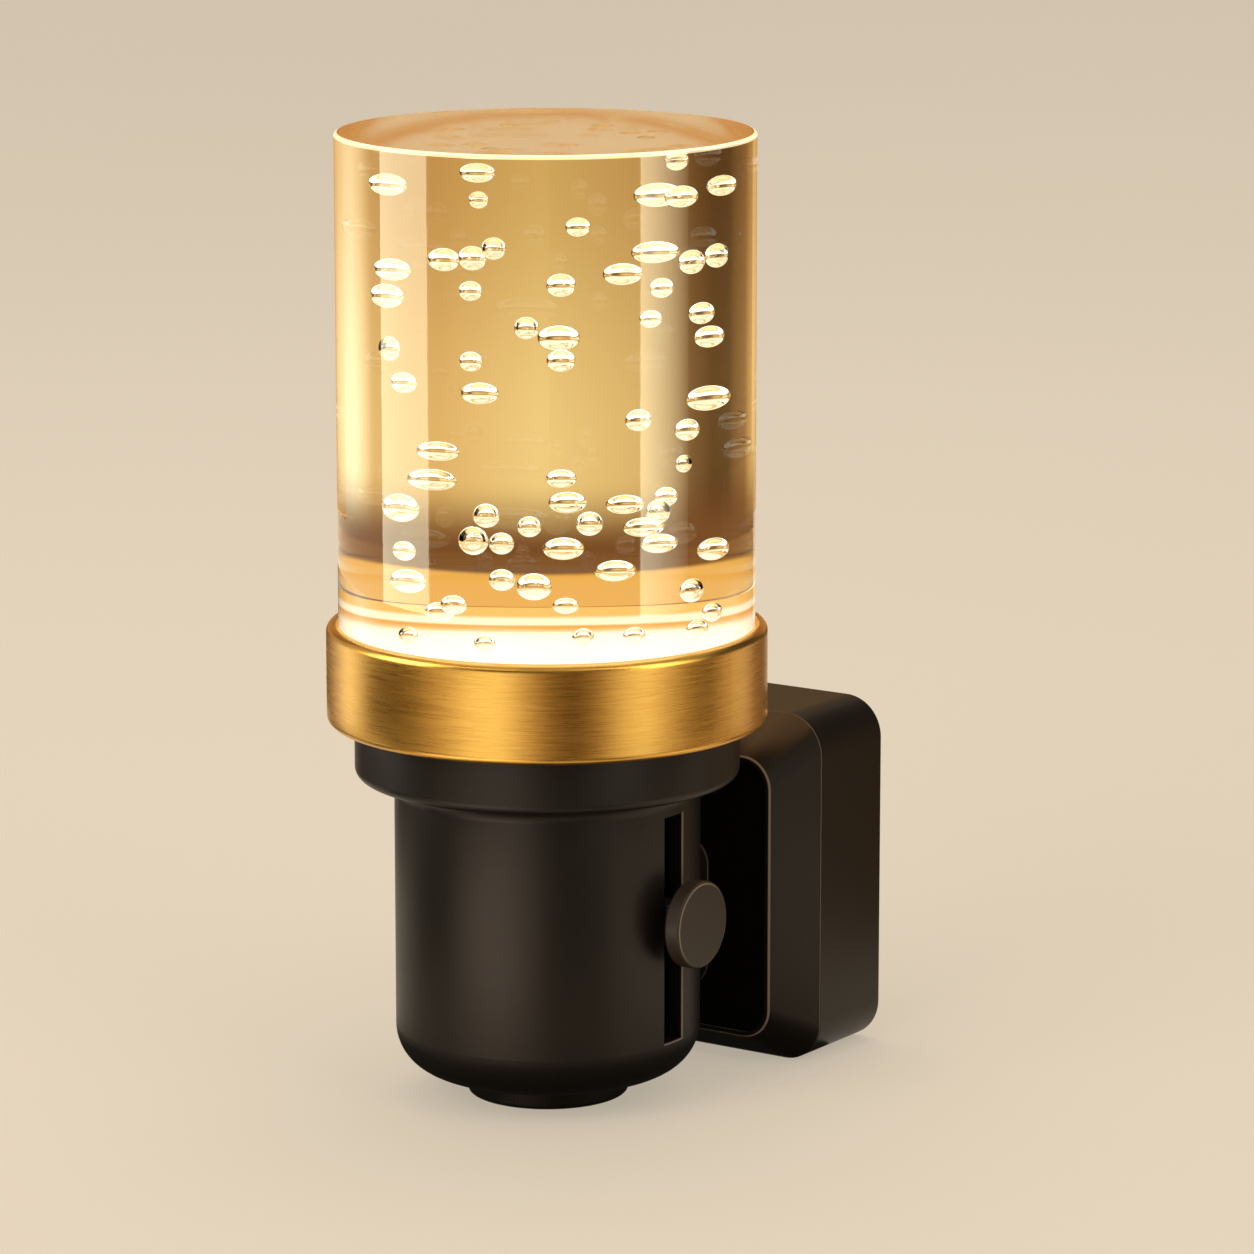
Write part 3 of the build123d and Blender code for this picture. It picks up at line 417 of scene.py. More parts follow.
ring_outline = (*upright(RING_FAR, RING_CARD_STEP), (RING_NEAR, RING_CARD_FOOT), (RING_NEAR, RING_CARD_TOP))
bent_card("ring_bands", (FIRST_BAND, LAST_BAND), ring_outline, banded_glow(), "glossy", RING_STEPS)
shiny_card("ring_end", (103, 150), 0.2, upright(RING_FAR, RING_CARD_TOP), AMBER)
print("floor and cards so far:", count_cards())

# %% [markdown]
# ## Sheen on the body and the plug
# Black plastic shows its roundness only by its sheen. Two bright cards side by side that fade outwards lay one broad
# soft sheen on the body, dark cards beside them keep the rest deep, and a pale one at the right lights the side
# with the dimmer. Two warm cards stand far behind the light. A small flat one leans over the plug, because the lit
# crystal lays its warm light on the slope there.

# %% Put up the cards for the body and the plug
SHINE = (1.0, 0.85, 0.7)
BODY_CARD_AT, BODY_CARD_TOP, COLLAR_CARD_TOP = 0.07, 22 * MM, 28.5 * MM
CASE_CARD_AT, CASE_CARD_TOP = 0.09, 30 * MM
UNDER_BODY_FROM, UNDER_BODY_TO = 0.0005, 0.04
BEHIND_AT, BEHIND_STEP, BEHIND_TOP = 0.4, 0.145, 0.3
BEHIND_LOW_COLOUR, BEHIND_HIGH_COLOUR = (1.0, 0.57, 0.24), (1.0, 0.5, 0.15)
OVER_CASE = [(8, -22, 29.05), (21.5, -22, 29.05), (21.5, -14, 27.07), (8, -14, 27.07)]
CRYSTAL_LIGHT, CRYSTAL_LIGHT_STRENGTH = (1.0, 0.58, 0.27), 2.4

body_outline = upright(BODY_CARD_AT, BODY_CARD_TOP)
shiny_card("body_left_dark", (-104, -64), 0.05, body_outline, SHINE)
shiny_card("body_bright_left", (-32, -63), 4.0, body_outline, SHINE, fade=0.7)
shiny_card("body_bright", (-31, -4), 4.0, body_outline, SHINE, fade=0.7)
shiny_card("body_dark", (-3, 42), 0.1, body_outline, SHINE)
shiny_card("body_pale", (43, 80), 1.3, body_outline, SHINE)
collar_outline = ((BODY_CARD_AT, BODY_CARD_TOP), (BODY_CARD_AT, COLLAR_CARD_TOP))
# A dark card that only reflected rays see, under the collar: painted shade on the top of the body, where the collar's
# shadow falls.
shiny_card("painted_collar_shade_card", (-116, 80), 0.05, collar_outline, SHINE)
shiny_card("case_dark", (94, 136), 0.25, upright(CASE_CARD_AT, CASE_CARD_TOP), AMBER)
put_card("over_case", [MM * Vector(corner) for corner in OVER_CASE], [(0, 1, 2, 3)], [0.0] * len(OVER_CASE),
         plain_glow("over_case", CRYSTAL_LIGHT, CRYSTAL_LIGHT_STRENGTH), "glossy")
shiny_card("under_body", (0, 360), 0.03, ((UNDER_BODY_FROM, CARD_FOOT), (UNDER_BODY_TO, CARD_FOOT)), SHINE)
shiny_card("behind", (140, 220), 0.65, upright(BEHIND_AT, BEHIND_STEP), BEHIND_LOW_COLOUR)
behind_top_outline = ((BEHIND_AT, BEHIND_STEP), (BEHIND_AT, BEHIND_TOP))
shiny_card("behind_top", (140, 220), 0.25, behind_top_outline, BEHIND_HIGH_COLOUR)
print("floor and cards so far:", count_cards())

# %% [markdown]
# ## A shade for the crystal
# The crystal is a strong lens, so what shows in it is whatever stands round it, turned about. A printed shade all
# round the light fills it with gold, which goes to dark brown on one side. Low down the shade has an amber and a
# brown layer, which show as the layers in the foot of the column. Above, it opens into a white and then a pale
# blue dome, which shows in the bubbles and through the top face. Two tall strips lay pale streaks on the column.

# %% Print the shade
SHADE_COLOURS = [
    (0.26, (0.4, 0.28, 0.11)), (0.305, (0.55, 0.42, 0.2)), (0.325, (0.4, 0.23, 0.07)),
    (0.345, (0.15, 0.072, 0.022)), (0.372, (0.09, 0.042, 0.014)), (0.382, (0.045, 0.02, 0.006)),
    (0.405, (0.052, 0.023, 0.007)), (0.425, (0.1, 0.052, 0.02)), (0.456, (0.37, 0.26, 0.11)),
    (0.5, (0.455, 0.345, 0.155)), (0.545, (0.385, 0.25, 0.095)), (0.6, (0.385, 0.25, 0.088)),
    (0.618, (0.62, 0.5, 0.29)), (0.635, (0.74, 0.66, 0.46)), (0.67, (0.72, 0.62, 0.4)), (0.7, (0.7, 0.58, 0.36)),
]
DEEPER_FROM, DEEPER_TO, AS_IT_IS, DEEPER = 30.0, 76.0, (1.0, 1.0, 1.0), (0.72, 0.62, 0.5)
BOW, BOW_END = 80.0, 0.04
DARK, BROWN, GOLDEN_AMBER = (0.03, 0.014, 0.005), (0.1, 0.042, 0.014), (0.45, 0.25, 0.06)
PAPER_WHITE, DOME_WHITE, DOME_BLUE = (0.78, 0.74, 0.63), (1.0, 0.96, 0.88), (0.42, 0.57, 1.0)
BLUE_FROM, BLUE_TO = 280.0, 320.0
SHADE_STRENGTH, MORE_IN_BLUE = 2.0, 2.0
floor_mm = floor_z / MM
BOWED_LAYERS = [(15.0, 26.0, BROWN), (10.9, 11.7, GOLDEN_AMBER)]
LOW_LAYERS = [(floor_mm + 8.0, floor_mm + 10.0, DARK), (floor_mm + 0.5, floor_mm + 2.0, PAPER_WHITE)]
HIGH_LAYERS = [(82.0, 85.0, DARK), (98.0, 106.0, DOME_WHITE), (BLUE_FROM, BLUE_TO, DOME_BLUE)]


def warm_shade():
    """Colours round the light and then layers by height in millimetres; the bowed layers sink to both sides."""
    finish = Finish("warm_shade")
    turn = radians(PHOTO_TURN)
    x, y = finish.along("X") - axis.x, finish.along("Y") - axis.y
    right, away = x * cos(turn) + y * sin(turn), y * cos(turn) - x * sin(turn)
    share = finish.maths("ARCTAN2", right, away) / (2 * pi) + 0.5
    golden = finish.node("ShaderNodeValToRGB", {"Fac": share}, stops=SHADE_COLOURS)
    height = finish.along("Z") / MM
    deeper = finish.mix(finish.rise(height, DEEPER_FROM, DEEPER_TO), AS_IT_IS, DEEPER)
    layered = finish.node("ShaderNodeVectorMath", {0: golden, 1: deeper}, operation="MULTIPLY")
    aside = share - 0.5
    level = height + BOW * finish.maths("MINIMUM", aside * aside, BOW_END)
    for low, high, colour in BOWED_LAYERS:
        layered = finish.mix(finish.rise(level, low, high), colour, layered)
    for low, high, colour in LOW_LAYERS:
        layered = finish.mix(finish.rise(height, low, high), colour, layered)
    for low, high, colour in HIGH_LAYERS:
        layered = finish.mix(finish.rise(height, low, high), layered, colour)
    bright = SHADE_STRENGTH + MORE_IN_BLUE * finish.rise(height, BLUE_FROM, BLUE_TO)
    return finish.glow(finish.node("ShaderNodeVectorMath", {0: layered, "Scale": bright}, operation="SCALE"))


shade_print = warm_shade()
print("made", shade_print.name, "with", len(SHADE_COLOURS), "colours round the light")

# %% Put up the shade and the streaks
MOUTH_AT, SIDE_AT, DOME_AT, HOLE_AT = 0.04, 0.2, 0.28, 0.001
SIDE_TOP, DOME_FOOT, DOME_SIDE, DOME_TOP = 0.11, 0.28, 0.35, 0.42
SHADE_STEPS = 96
STREAK_AT, STREAK_TOP = 0.3, 0.3
STREAK_COLOUR = (1.0, 0.98, 0.72)

shade_outline = ((MOUTH_AT, CARD_FOOT), (SIDE_AT, CARD_FOOT), (SIDE_AT, SIDE_TOP),
                 (DOME_AT, DOME_FOOT), (DOME_AT, DOME_SIDE), (HOLE_AT, DOME_TOP))
bent_card("warm_shade", (0, 360), shade_outline, shade_print, "transmission", SHADE_STEPS)
streak_outline = upright(STREAK_AT, STREAK_TOP)
shiny_card("left_streak", (-97, -64), 7.2, streak_outline, STREAK_COLOUR)
shiny_card("right_streak", (51, 80), 7.6, streak_outline, STREAK_COLOUR, fade=0.9)
shiny_card("front_dark", (-63, 50), 0.05, streak_outline, SHINE)
shiny_card("right_dark", (81, 150), 0.05, streak_outline, SHINE)
print("floor and cards so far:", count_cards())

# %% [markdown]
# ## The gold ring
# The real ring is turned metal, brushed round and round with fine grit and lacquered. The brush leaves
# hair-thin strokes along the ring, so noise that is stretched far along the ring and squeezed upright gives
# both the strokes' colour and their relief. Real strokes spread a lamp's streak upright and keep it narrow.

# %% Brushed gold
FINE_DETAIL = 3.0
STROKE_CELLS, SWATHE_CELLS = (210, 210, 8200), (60, 60, 900)
GOLD_DEEP, GOLD_PALE = (0.68, 0.36, 0.066), (0.83, 0.46, 0.095)
GOLD_ROUGH, BRUSH_ROUGHENS = 0.23, 0.06
STROKE_RELIEF, STROKE_DEPTH = 0.03, 0.02 * MM


def brushed_gold():
    finish = Finish("brushed_gold")
    strokes = finish.rise(finish.noise(STROKE_CELLS, FINE_DETAIL), 0.3, 0.7)
    swathes = finish.noise(SWATHE_CELLS)
    colour = finish.mix(strokes, GOLD_DEEP, GOLD_PALE)
    rough = GOLD_ROUGH + BRUSH_ROUGHENS * strokes + BRUSH_ROUGHENS * swathes
    return finish.surface(Base_Color=colour, Metallic=1.0, Roughness=rough,
                          Normal=finish.relief(strokes, STROKE_RELIEF, STROKE_DEPTH))


finishes = {"gold_ring": brushed_gold()}
print("made", finishes["gold_ring"].name)

# %% [markdown]
# ## Painted highlights on the edges
# The sharp edges of black plastic catch the light. Here that highlight is painted into the colour: the seam and
# the rim of the plug case and the rear and lower edges of the dimmer's slot get a thin pale line. Each line is
# found by its distance from the edge, so it is equally thin all the way along. The rim's line stops below the
# collar, which shares the finish but has no such edge there.

# %% Painted highlights along the edges
seam_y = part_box("plug_rear_case")[0].y
rim_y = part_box("plug_front_case")[0].y
BODY_RADIUS = 18.55 * MM
SLOT_MIDDLE, SLOT_HALF_LENGTH, SLOT_HALF_WIDTH = 5.65 * MM, 13.95 * MM, 1.86 * MM
SLOT_SIDE_FROM, SLOT_SIDE_TO = 10 * MM, 11 * MM
COLLAR_FOOT = 22.3 * MM
EDGE_LINE = 0.2 * MM


def thin_line(finish, value, start):
    """1 where a value lies within the width of a line from its start, and 0 elsewhere."""
    from_line = finish.maths("ABSOLUTE", value - (start + EDGE_LINE / 2))
    return 1.0 - finish.rise(from_line, 0.4 * EDGE_LINE, 0.6 * EDGE_LINE)


def painted_edge_highlights(finish):
    """Painted highlights: the seam and rim of the plug case, and the rear and lower edges of the slot in the right of
    the body.
    """
    y = finish.along("Y")
    across, along = y - axis.y, SLOT_MIDDLE - finish.along("Z")
    beside = 1.0 - finish.rise(finish.maths("ABSOLUTE", along), SLOT_HALF_LENGTH, SLOT_HALF_LENGTH + EDGE_LINE)
    within = 1.0 - finish.rise(finish.maths("ABSOLUTE", across), SLOT_HALF_WIDTH, SLOT_HALF_WIDTH + EDGE_LINE)
    mouth = thin_line(finish, across, SLOT_HALF_WIDTH) * beside + thin_line(finish, along, SLOT_HALF_LENGTH) * within
    x = finish.along("X") - axis.x
    out = finish.maths("SQRT", x * x + across * across)
    on_slot_side = finish.rise(x, SLOT_SIDE_FROM, SLOT_SIDE_TO)
    on_skin = finish.rise(out, BODY_RADIUS - EDGE_LINE, BODY_RADIUS - 0.8 * EDGE_LINE)
    below_collar = 1.0 - finish.rise(finish.along("Z"), COLLAR_FOOT - EDGE_LINE, COLLAR_FOOT)
    rim = thin_line(finish, y, rim_y + 0.3 * EDGE_LINE) * below_collar
    return finish.maths("MINIMUM", mouth * on_slot_side * on_skin + thin_line(finish, y, seam_y) + rim, 1.0)


print("seam at", round(seam_y / MM, 2), "mm, rim at", round(rim_y / MM, 2), "mm")

# %% [markdown]
# ## The black pieces
# The body and the plug case are moulded in black plastic with a fine satin texture, which a mould gets by
# etching. Under a soft lamp it shows as a broad grey sheen with a faint sparkle. Fine noise drives the relief,
# and a coarser noise varies the sheen, as uneven cooling does. The sunk panel is duller and darker.

# %% Satin black and dull black
GRAIN_CELLS, COOLING_CELLS = (3400, 3400, 3400), (90, 90, 90)
GRAIN_RELIEF, GRAIN_DEPTH = 0.3, 0.03 * MM
COOLING_ROUGHENS, GRAIN_ROUGHENS = 0.08, 0.06
EDGE_HIGHLIGHT_GREY, WARM_SHEEN = (0.2, 0.155, 0.115), (1.0, 0.88, 0.78)


def satin_black(name, deep, pale, rough, shine, painted_highlights=False):
    finish = Finish(name)
    grain, cooling = finish.noise(GRAIN_CELLS), finish.noise(COOLING_CELLS)
    colour = finish.mix(grain, deep, pale)
    # The thin pale lines mixed in here are painted highlights along the edges.
    if painted_highlights:
        colour = finish.mix(painted_edge_highlights(finish), colour, EDGE_HIGHLIGHT_GREY)
    return finish.surface(Base_Color=colour, Roughness=rough + COOLING_ROUGHENS * cooling + GRAIN_ROUGHENS * grain,
                          Specular_IOR_Level=shine, Specular_Tint=WARM_SHEEN,
                          Normal=finish.relief(grain, GRAIN_RELIEF, GRAIN_DEPTH))


# The body, collar and plug case carry the painted edge highlights.
finishes["black_shell"] = satin_black("satin_black", (0.004, 0.003, 0.0023), (0.0085, 0.0066, 0.0052),
                                      rough=0.32, shine=0.33, painted_highlights=True)
finishes["dark_panel"] = satin_black("dull_black", (0.0012, 0.001, 0.0008), (0.0024, 0.002, 0.0016),
                                     rough=0.7, shine=0.1)
finishes["black_part"] = satin_black("moulded_black", (0.012, 0.012, 0.013), (0.022, 0.022, 0.023),
                                     rough=0.5, shine=0.35)
print("made", [finishes[slot].name for slot in ("black_shell", "dark_panel", "black_part")])

# %% [markdown]
# ## The dimmer's knob
# The knob is a painted disc whose face was turned on a lathe, so its fine marks run in circles about its own
# middle. The distance from that middle, fed into a noise, gives the circles. The marks are far finer than the
# photograph shows, so they only soften the sheen. Near its rim, at the upper left, a thin pale line is a painted
# highlight where the edge catches the light.

# %% Turned dark paint
knob_low, knob_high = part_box("slide_knob")
knob_middle = (knob_low + knob_high) / 2
KNOB_MARKS, KNOB_DETAIL = 5200.0, 2.0
KNOB_DEEP, KNOB_PALE, KNOB_HIGHLIGHT = (0.026, 0.018, 0.0125), (0.036, 0.0255, 0.018), (0.22, 0.17, 0.13)
KNOB_ROUGH, MARKS_ROUGHEN, KNOB_SHINE = 0.34, 0.12, 0.3
KNOB_HIGHLIGHT_FROM, KNOB_HIGHLIGHT_TO = -3 * MM, 5 * MM
TOOL_RELIEF, TOOL_DEPTH = 0.12, 0.01 * MM


def turned_paint():
    finish = Finish("turned_paint")
    aside = finish.along("Y") - knob_middle.y
    above = finish.along("Z") - knob_middle.z
    radius = finish.maths("SQRT", aside * aside + above * above)
    marks = finish.circles(radius, KNOB_MARKS, KNOB_DETAIL)
    colour = finish.mix(marks, KNOB_DEEP, KNOB_PALE)
    # A painted highlight: a thin pale line near the rim, on the upper left only, where the edge catches the light.
    line = thin_line(finish, radius, (knob_high.z - knob_low.z) / 2 - 2 * EDGE_LINE)
    upper_left = finish.rise(above - aside, KNOB_HIGHLIGHT_FROM, KNOB_HIGHLIGHT_TO)
    colour = finish.mix(line * upper_left, colour, KNOB_HIGHLIGHT)
    return finish.surface(Base_Color=colour, Roughness=KNOB_ROUGH + MARKS_ROUGHEN * marks,
                          Specular_IOR_Level=KNOB_SHINE, Normal=finish.relief(marks, TOOL_RELIEF, TOOL_DEPTH))


finishes["dark_knob"] = turned_paint()
print("knob's middle", [round(place / MM, 2) for place in knob_middle], "mm")

# %% [markdown]
# ## Metal inside and behind
# At the back are two brass blades, and inside are plated screws, a sheet-metal frame and an aluminium disc.
# Rolled sheet has straight drawn lines and plated steel has a faint mottle. Both are noise: stretched along
# the rolling direction for sheet, and even for plating.

# %% Brass, zinc, aluminium and solder
MOTTLE_CELLS = (240, 240, 240)
LINES_ROUGHEN, MOTTLE_ROUGHENS = 0.1, 0.08


def drawn_metal(name, deep, pale, cells, rough):
    """Metal with fine lines along the axis that has the fewest cells; even cells give a mottle."""
    finish = Finish(name)
    lines, mottle = finish.noise(cells, FINE_DETAIL), finish.noise(MOTTLE_CELLS)
    return finish.surface(Base_Color=finish.mix(lines, deep, pale), Metallic=1.0,
                          Roughness=rough + LINES_ROUGHEN * lines + MOTTLE_ROUGHENS * mottle,
                          Normal=finish.relief(lines, TOOL_RELIEF, TOOL_DEPTH))


finishes["blade"] = drawn_metal("drawn_brass", (0.62, 0.42, 0.17), (0.74, 0.53, 0.24),
                                cells=(4200, 60, 4200), rough=0.24)
finishes["steel"] = drawn_metal("zinc_plate", (0.42, 0.42, 0.43), (0.56, 0.56, 0.57),
                                cells=(900, 900, 900), rough=0.26)
finishes["aluminium"] = drawn_metal("rolled_aluminium", (0.6, 0.6, 0.61), (0.74, 0.74, 0.75),
                                    cells=(60, 3800, 3800), rough=0.3)
finishes["solder"] = drawn_metal("bright_solder", (0.55, 0.55, 0.56), (0.72, 0.72, 0.73),
                                 cells=(700, 700, 700), rough=0.2)
print("made", [finishes[slot].name for slot in ("blade", "steel", "aluminium", "solder")])

# %% [markdown]
# ## Plastic, rubber and boards inside
# These pieces show only when the light is opened or seen through the slot, so their finishes are short: a
# colour that varies a little, a sheen, and a fine relief. The circuit boards add copper lines under the green
# lacquer, which a brick pattern draws well enough, and the resistor has its colour bands.

# %% Small parts
MOULD_ROUGHENS, MOULD_RELIEF, MOULD_DEPTH = 0.1, 0.1, 0.02 * MM


def moulded(name, deep, pale, rough, cells=900, coat=0.0):
    finish = Finish(name)
    grain = finish.noise((cells, cells, cells), FINE_DETAIL)
    return finish.surface(Base_Color=finish.mix(grain, deep, pale), Roughness=rough + MOULD_ROUGHENS * grain,
                          Coat_Weight=coat, Normal=finish.relief(grain, MOULD_RELIEF, MOULD_DEPTH))


finishes["white_plastic"] = moulded("white_plastic", (0.76, 0.75, 0.71), (0.84, 0.83, 0.79), rough=0.3)
finishes["light_board"] = moulded("white_lacquer", (0.74, 0.74, 0.7), (0.82, 0.82, 0.78), rough=0.35, cells=400)
finishes["track"] = moulded("carbon_track", (0.016, 0.015, 0.014), (0.03, 0.028, 0.026), rough=0.6, cells=2600)
finishes["film_box"] = moulded("amber_resin", (0.34, 0.2, 0.02), (0.45, 0.28, 0.04), rough=0.22, cells=300, coat=0.3)
finishes["red_lead"] = moulded("red_insulation", (0.3, 0.012, 0.008), (0.38, 0.02, 0.012), rough=0.45)
finishes["black_lead"] = moulded("black_insulation", (0.012, 0.012, 0.013), (0.02, 0.02, 0.021), rough=0.45)
print("finishes so far:", len(finishes))

# %% Circuit board, striped can and banded resistor
BOARD_LINES = {"Scale": 330.0, "Mortar Size": 0.09, "Mortar Smooth": 0.2, "Brick Width": 1.4, "Row Height": 0.7}
BOARD_GREEN, COPPER_GREEN = (0.008, 0.062, 0.02), (0.03, 0.13, 0.04)
BOARD_ROUGH, COPPER_SMOOTHS = 0.34, 0.08
COPPER_RELIEF, COPPER_DEPTH = 0.3, 0.03 * MM
STRIPE_WIDTH, STRIPE_EDGE = 1.6 * MM, 0.2 * MM
DASH_CYCLES, DASH_SHARE = 2200.0, 0.5
SLEEVE_BLUE, STRIPE_GREY = (0.006, 0.009, 0.04), (0.3, 0.34, 0.4)


def circuit_board():
    finish = Finish("circuit_board")
    across = finish.along("X") + finish.along("Y")
    flat = finish.node("ShaderNodeCombineXYZ", {"X": across, "Y": finish.along("Z")})
    lines = finish.node("ShaderNodeTexBrick", {"Vector": flat, **BOARD_LINES}, "Fac")
    colour = finish.mix(lines, BOARD_GREEN, COPPER_GREEN)
    return finish.surface(Base_Color=colour, Roughness=BOARD_ROUGH - COPPER_SMOOTHS * lines,
                          Normal=finish.relief(lines, COPPER_RELIEF, COPPER_DEPTH))


def striped_can():
    finish = Finish("striped_can")
    stripe_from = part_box("smoothing_capacitor")[1].x - STRIPE_WIDTH
    stripe = finish.rise(finish.along("X"), stripe_from, stripe_from + STRIPE_EDGE)
    dashes = finish.rise(finish.maths("SINE", finish.along("Z") * DASH_CYCLES), 0.2, 0.4)
    colour = finish.mix(stripe - DASH_SHARE * stripe * dashes, SLEEVE_BLUE, STRIPE_GREY)
    return finish.surface(Base_Color=colour, Roughness=0.22 + 0.1 * finish.noise((500, 500, 500)))


def banded_resistor():
    finish = Finish("banded_resistor")
    low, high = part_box("fuse_resistor")
    share = (finish.along("X") - low.x) / (high.x - low.x)
    coat, brown, black, gold = (0.1, 0.2, 0.16), (0.09, 0.03, 0.012), (0.01, 0.01, 0.01), (0.5, 0.3, 0.06)
    stops = [(0.0, coat), (0.2, brown), (0.27, coat), (0.36, black), (0.43, coat), (0.52, black), (0.59, coat),
             (0.76, gold), (0.83, coat)]
    bands = finish.node("ShaderNodeValToRGB", {"Fac": share}, stops=stops)
    bands.socket.node.color_ramp.interpolation = "CONSTANT"
    return finish.surface(Base_Color=bands, Roughness=0.26 + 0.1 * finish.noise((600, 600, 600)))


finishes["circuit_board"] = circuit_board()
finishes["can_sleeve"] = striped_can()
finishes["resistor_coat"] = banded_resistor()
print("finishes so far:", len(finishes))

# %% [markdown]
# ## What glows
# Eight small lights shine up through an opal disc, and the crystal's frosted foot takes their light in. From
# outside only the foot shows, as a white band low in the column. Each of these pieces glows with its own light,
# which fades a little towards the rim, where the lights are further away. Right under the ring's lip the foot's
# glow is painted gold, a painted reflection of the ring. So is the rim of its flat underside, and the column
# carries that up to its top face, where it shows as amber at the left and the right.

# %% Opal disc, lights and frosted foot
crystal_low, crystal_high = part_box("crystal_column")
crystal_radius = (crystal_high.x - crystal_low.x) / 2
LIP_FROM, LIP_TO, LIP_GOLD_REFLECTION = 1.5 * MM, 0.9 * MM, (0.8, 0.46, 0.11)
FLAT_TO, ROUND_FROM = 0.2 * MM, 0.5 * MM
RIM_FROM, RIM_TO, RIM_GOLD_REFLECTION = 0.72, 0.98, (0.74, 0.31, 0.03)


def from_axis(finish):
    """How far a point lies from the lamp's axis, in crystal radii."""
    aside, away = finish.along("X") - axis.x, finish.along("Y") - axis.y
    return finish.maths("SQRT", aside * aside + away * away) / crystal_radius


def glowing(name, body, middle, outer, strength, painted_gold_rim=False):
    """A lit piece that is brightest at the lamp's axis."""
    finish = Finish(name)
    glow = finish.mix(finish.rise(from_axis(finish), 0.3, 1.0), middle, outer)
    # Painted reflection of the ring: right under its lip the glow takes the ring's gold.
    lip = finish.rise(finish.along("Z"), ring_high.z - LIP_FROM, ring_high.z - LIP_TO)
    glow = finish.mix(lip, glow, LIP_GOLD_REFLECTION)
    if painted_gold_rim:
        # Painted reflection of the ring's gold on the rim of the flat underside, which shows as amber in the top
        # face.
        flat = 1.0 - finish.rise(finish.along("Z"), crystal_low.z + FLAT_TO, crystal_low.z + ROUND_FROM)
        glow = finish.mix(flat * finish.rise(from_axis(finish), RIM_FROM, RIM_TO), glow, RIM_GOLD_REFLECTION)
    return finish.surface(Base_Color=body, Roughness=0.5, Emission_Color=glow, Emission_Strength=strength)


finishes["opal"] = glowing("opal", (0.86, 0.8, 0.68), (1.0, 0.86, 0.6), (1.0, 0.74, 0.4), strength=2.0)
finishes["light_chip"] = glowing("lit_phosphor", (0.85, 0.6, 0.12), (1.0, 0.86, 0.5), (1.0, 0.8, 0.4), strength=4.0)
frosted_foot = glowing("frosted_foot", (0.2, 0.17, 0.12), (1.0, 0.97, 0.88), (1.0, 0.93, 0.77),
                       strength=1.08, painted_gold_rim=True)
print("crystal radius", round(crystal_radius / MM, 2), "mm")

# %% [markdown]
# ## Put the finishes on the solids
# The packed record says which finish each piece takes. Each solid keeps its own mesh and place, and gets the
# material in its slot. The crystal comes later.

# %% Dress the solids
dressed = 0
for entry in frame["record"]["subparts"]:
    finish = finishes.get(entry["material_slot"])
    if finish:
        for slot in frame["nodes"][entry["node"]].material_slots:
            slot.material = finish
        dressed += 1
print("dressed", dressed, "of", len(frame["nodes"]), "solids")

# %% [markdown]
# ## The crystal's finishes
# The column is cast clear resin. Light that goes far through it loses its blue first, so it is warm inside, which
# a volume that absorbs light gives for any path. The side is polished and bends light without spreading it. The
# top was turned on a lathe: it is slightly dull, with faint circles. The rounded edge between them has a faint glow.

# %% Clear crystal and turned top
BENDING = 1.49
WARMTH = {"Color": (0.985, 0.84, 0.46), "Density": 8.0}
FLOW_CELLS, FLOW_SHARE = (40, 40, 12), 0.35
CLEAR_LOW, CLEAR_HIGH, CLEAR_FLOW = (1.0, 0.94, 0.82), (1.0, 0.96, 0.86), (1.0, 0.98, 0.92)
EDGE_GLOW, EDGE_GLOW_COLOUR = 0.7, (1.0, 0.86, 0.6)
TOP_CIRCLES, TOP_ROUGH = 46.0, 0.18
TOP_DEEP, TOP_PALE = (0.7, 0.5, 0.33), (0.84, 0.63, 0.45)


def clear_crystal(name, glow=0.0):
    """The polished side, with faint streaks from the casting."""
    finish = Finish(name)
    streaks = finish.noise(FLOW_CELLS)
    up = finish.rise(finish.along("Z"), crystal_low.z, crystal_high.z)
    colour = finish.mix(FLOW_SHARE * streaks, finish.mix(up, CLEAR_LOW, CLEAR_HIGH), CLEAR_FLOW)
    warmth = finish.node("ShaderNodeVolumeAbsorption", WARMTH)
    return finish.surface(warmth, Base_Color=colour, Roughness=0.0, IOR=BENDING, Transmission_Weight=1.0,
                          Emission_Color=EDGE_GLOW_COLOUR, Emission_Strength=glow)


def turned_top():
    """The top face, slightly dull and peach, with fine turning marks in circles."""
    finish = Finish("turned_top")
    marks = finish.circles(from_axis(finish), TOP_CIRCLES, FINE_DETAIL)
    peach = finish.mix(finish.rise(marks, 0.35, 0.65), TOP_DEEP, TOP_PALE)
    warmth = finish.node("ShaderNodeVolumeAbsorption", WARMTH)
    return finish.surface(warmth, Base_Color=peach, Roughness=TOP_ROUGH, IOR=BENDING, Transmission_Weight=1.0)


crystal_finish = clear_crystal("clear_crystal")
CLEAR, FOOT, TOP, LIT_EDGE = range(4)
crystal_layers = (crystal_finish, frosted_foot, turned_top(), clear_crystal("lit_edge", EDGE_GLOW))
print("layers of the crystal:", [finish.name for finish in crystal_layers])

# %% [markdown]
# ## The crystal column
# Seen from the side the column is a strong lens: it squeezes the room behind into its width and stretches each
# round bubble sideways. That only looks right on smooth curves, so the column is turned again here with fine
# steps, to the packed solid's sizes. Narrow flat rims beside the rounded edges keep the shading of the flat and
# upright faces true. Its foot stands a hair above the opal disc.

# %% The column's profile
EDGE = 0.5 * MM
RIM = 0.02 * MM
SEAT_TOP = ring_high.z
FOOT_LIFT = 0.05 * MM
EDGE_STEPS = 6


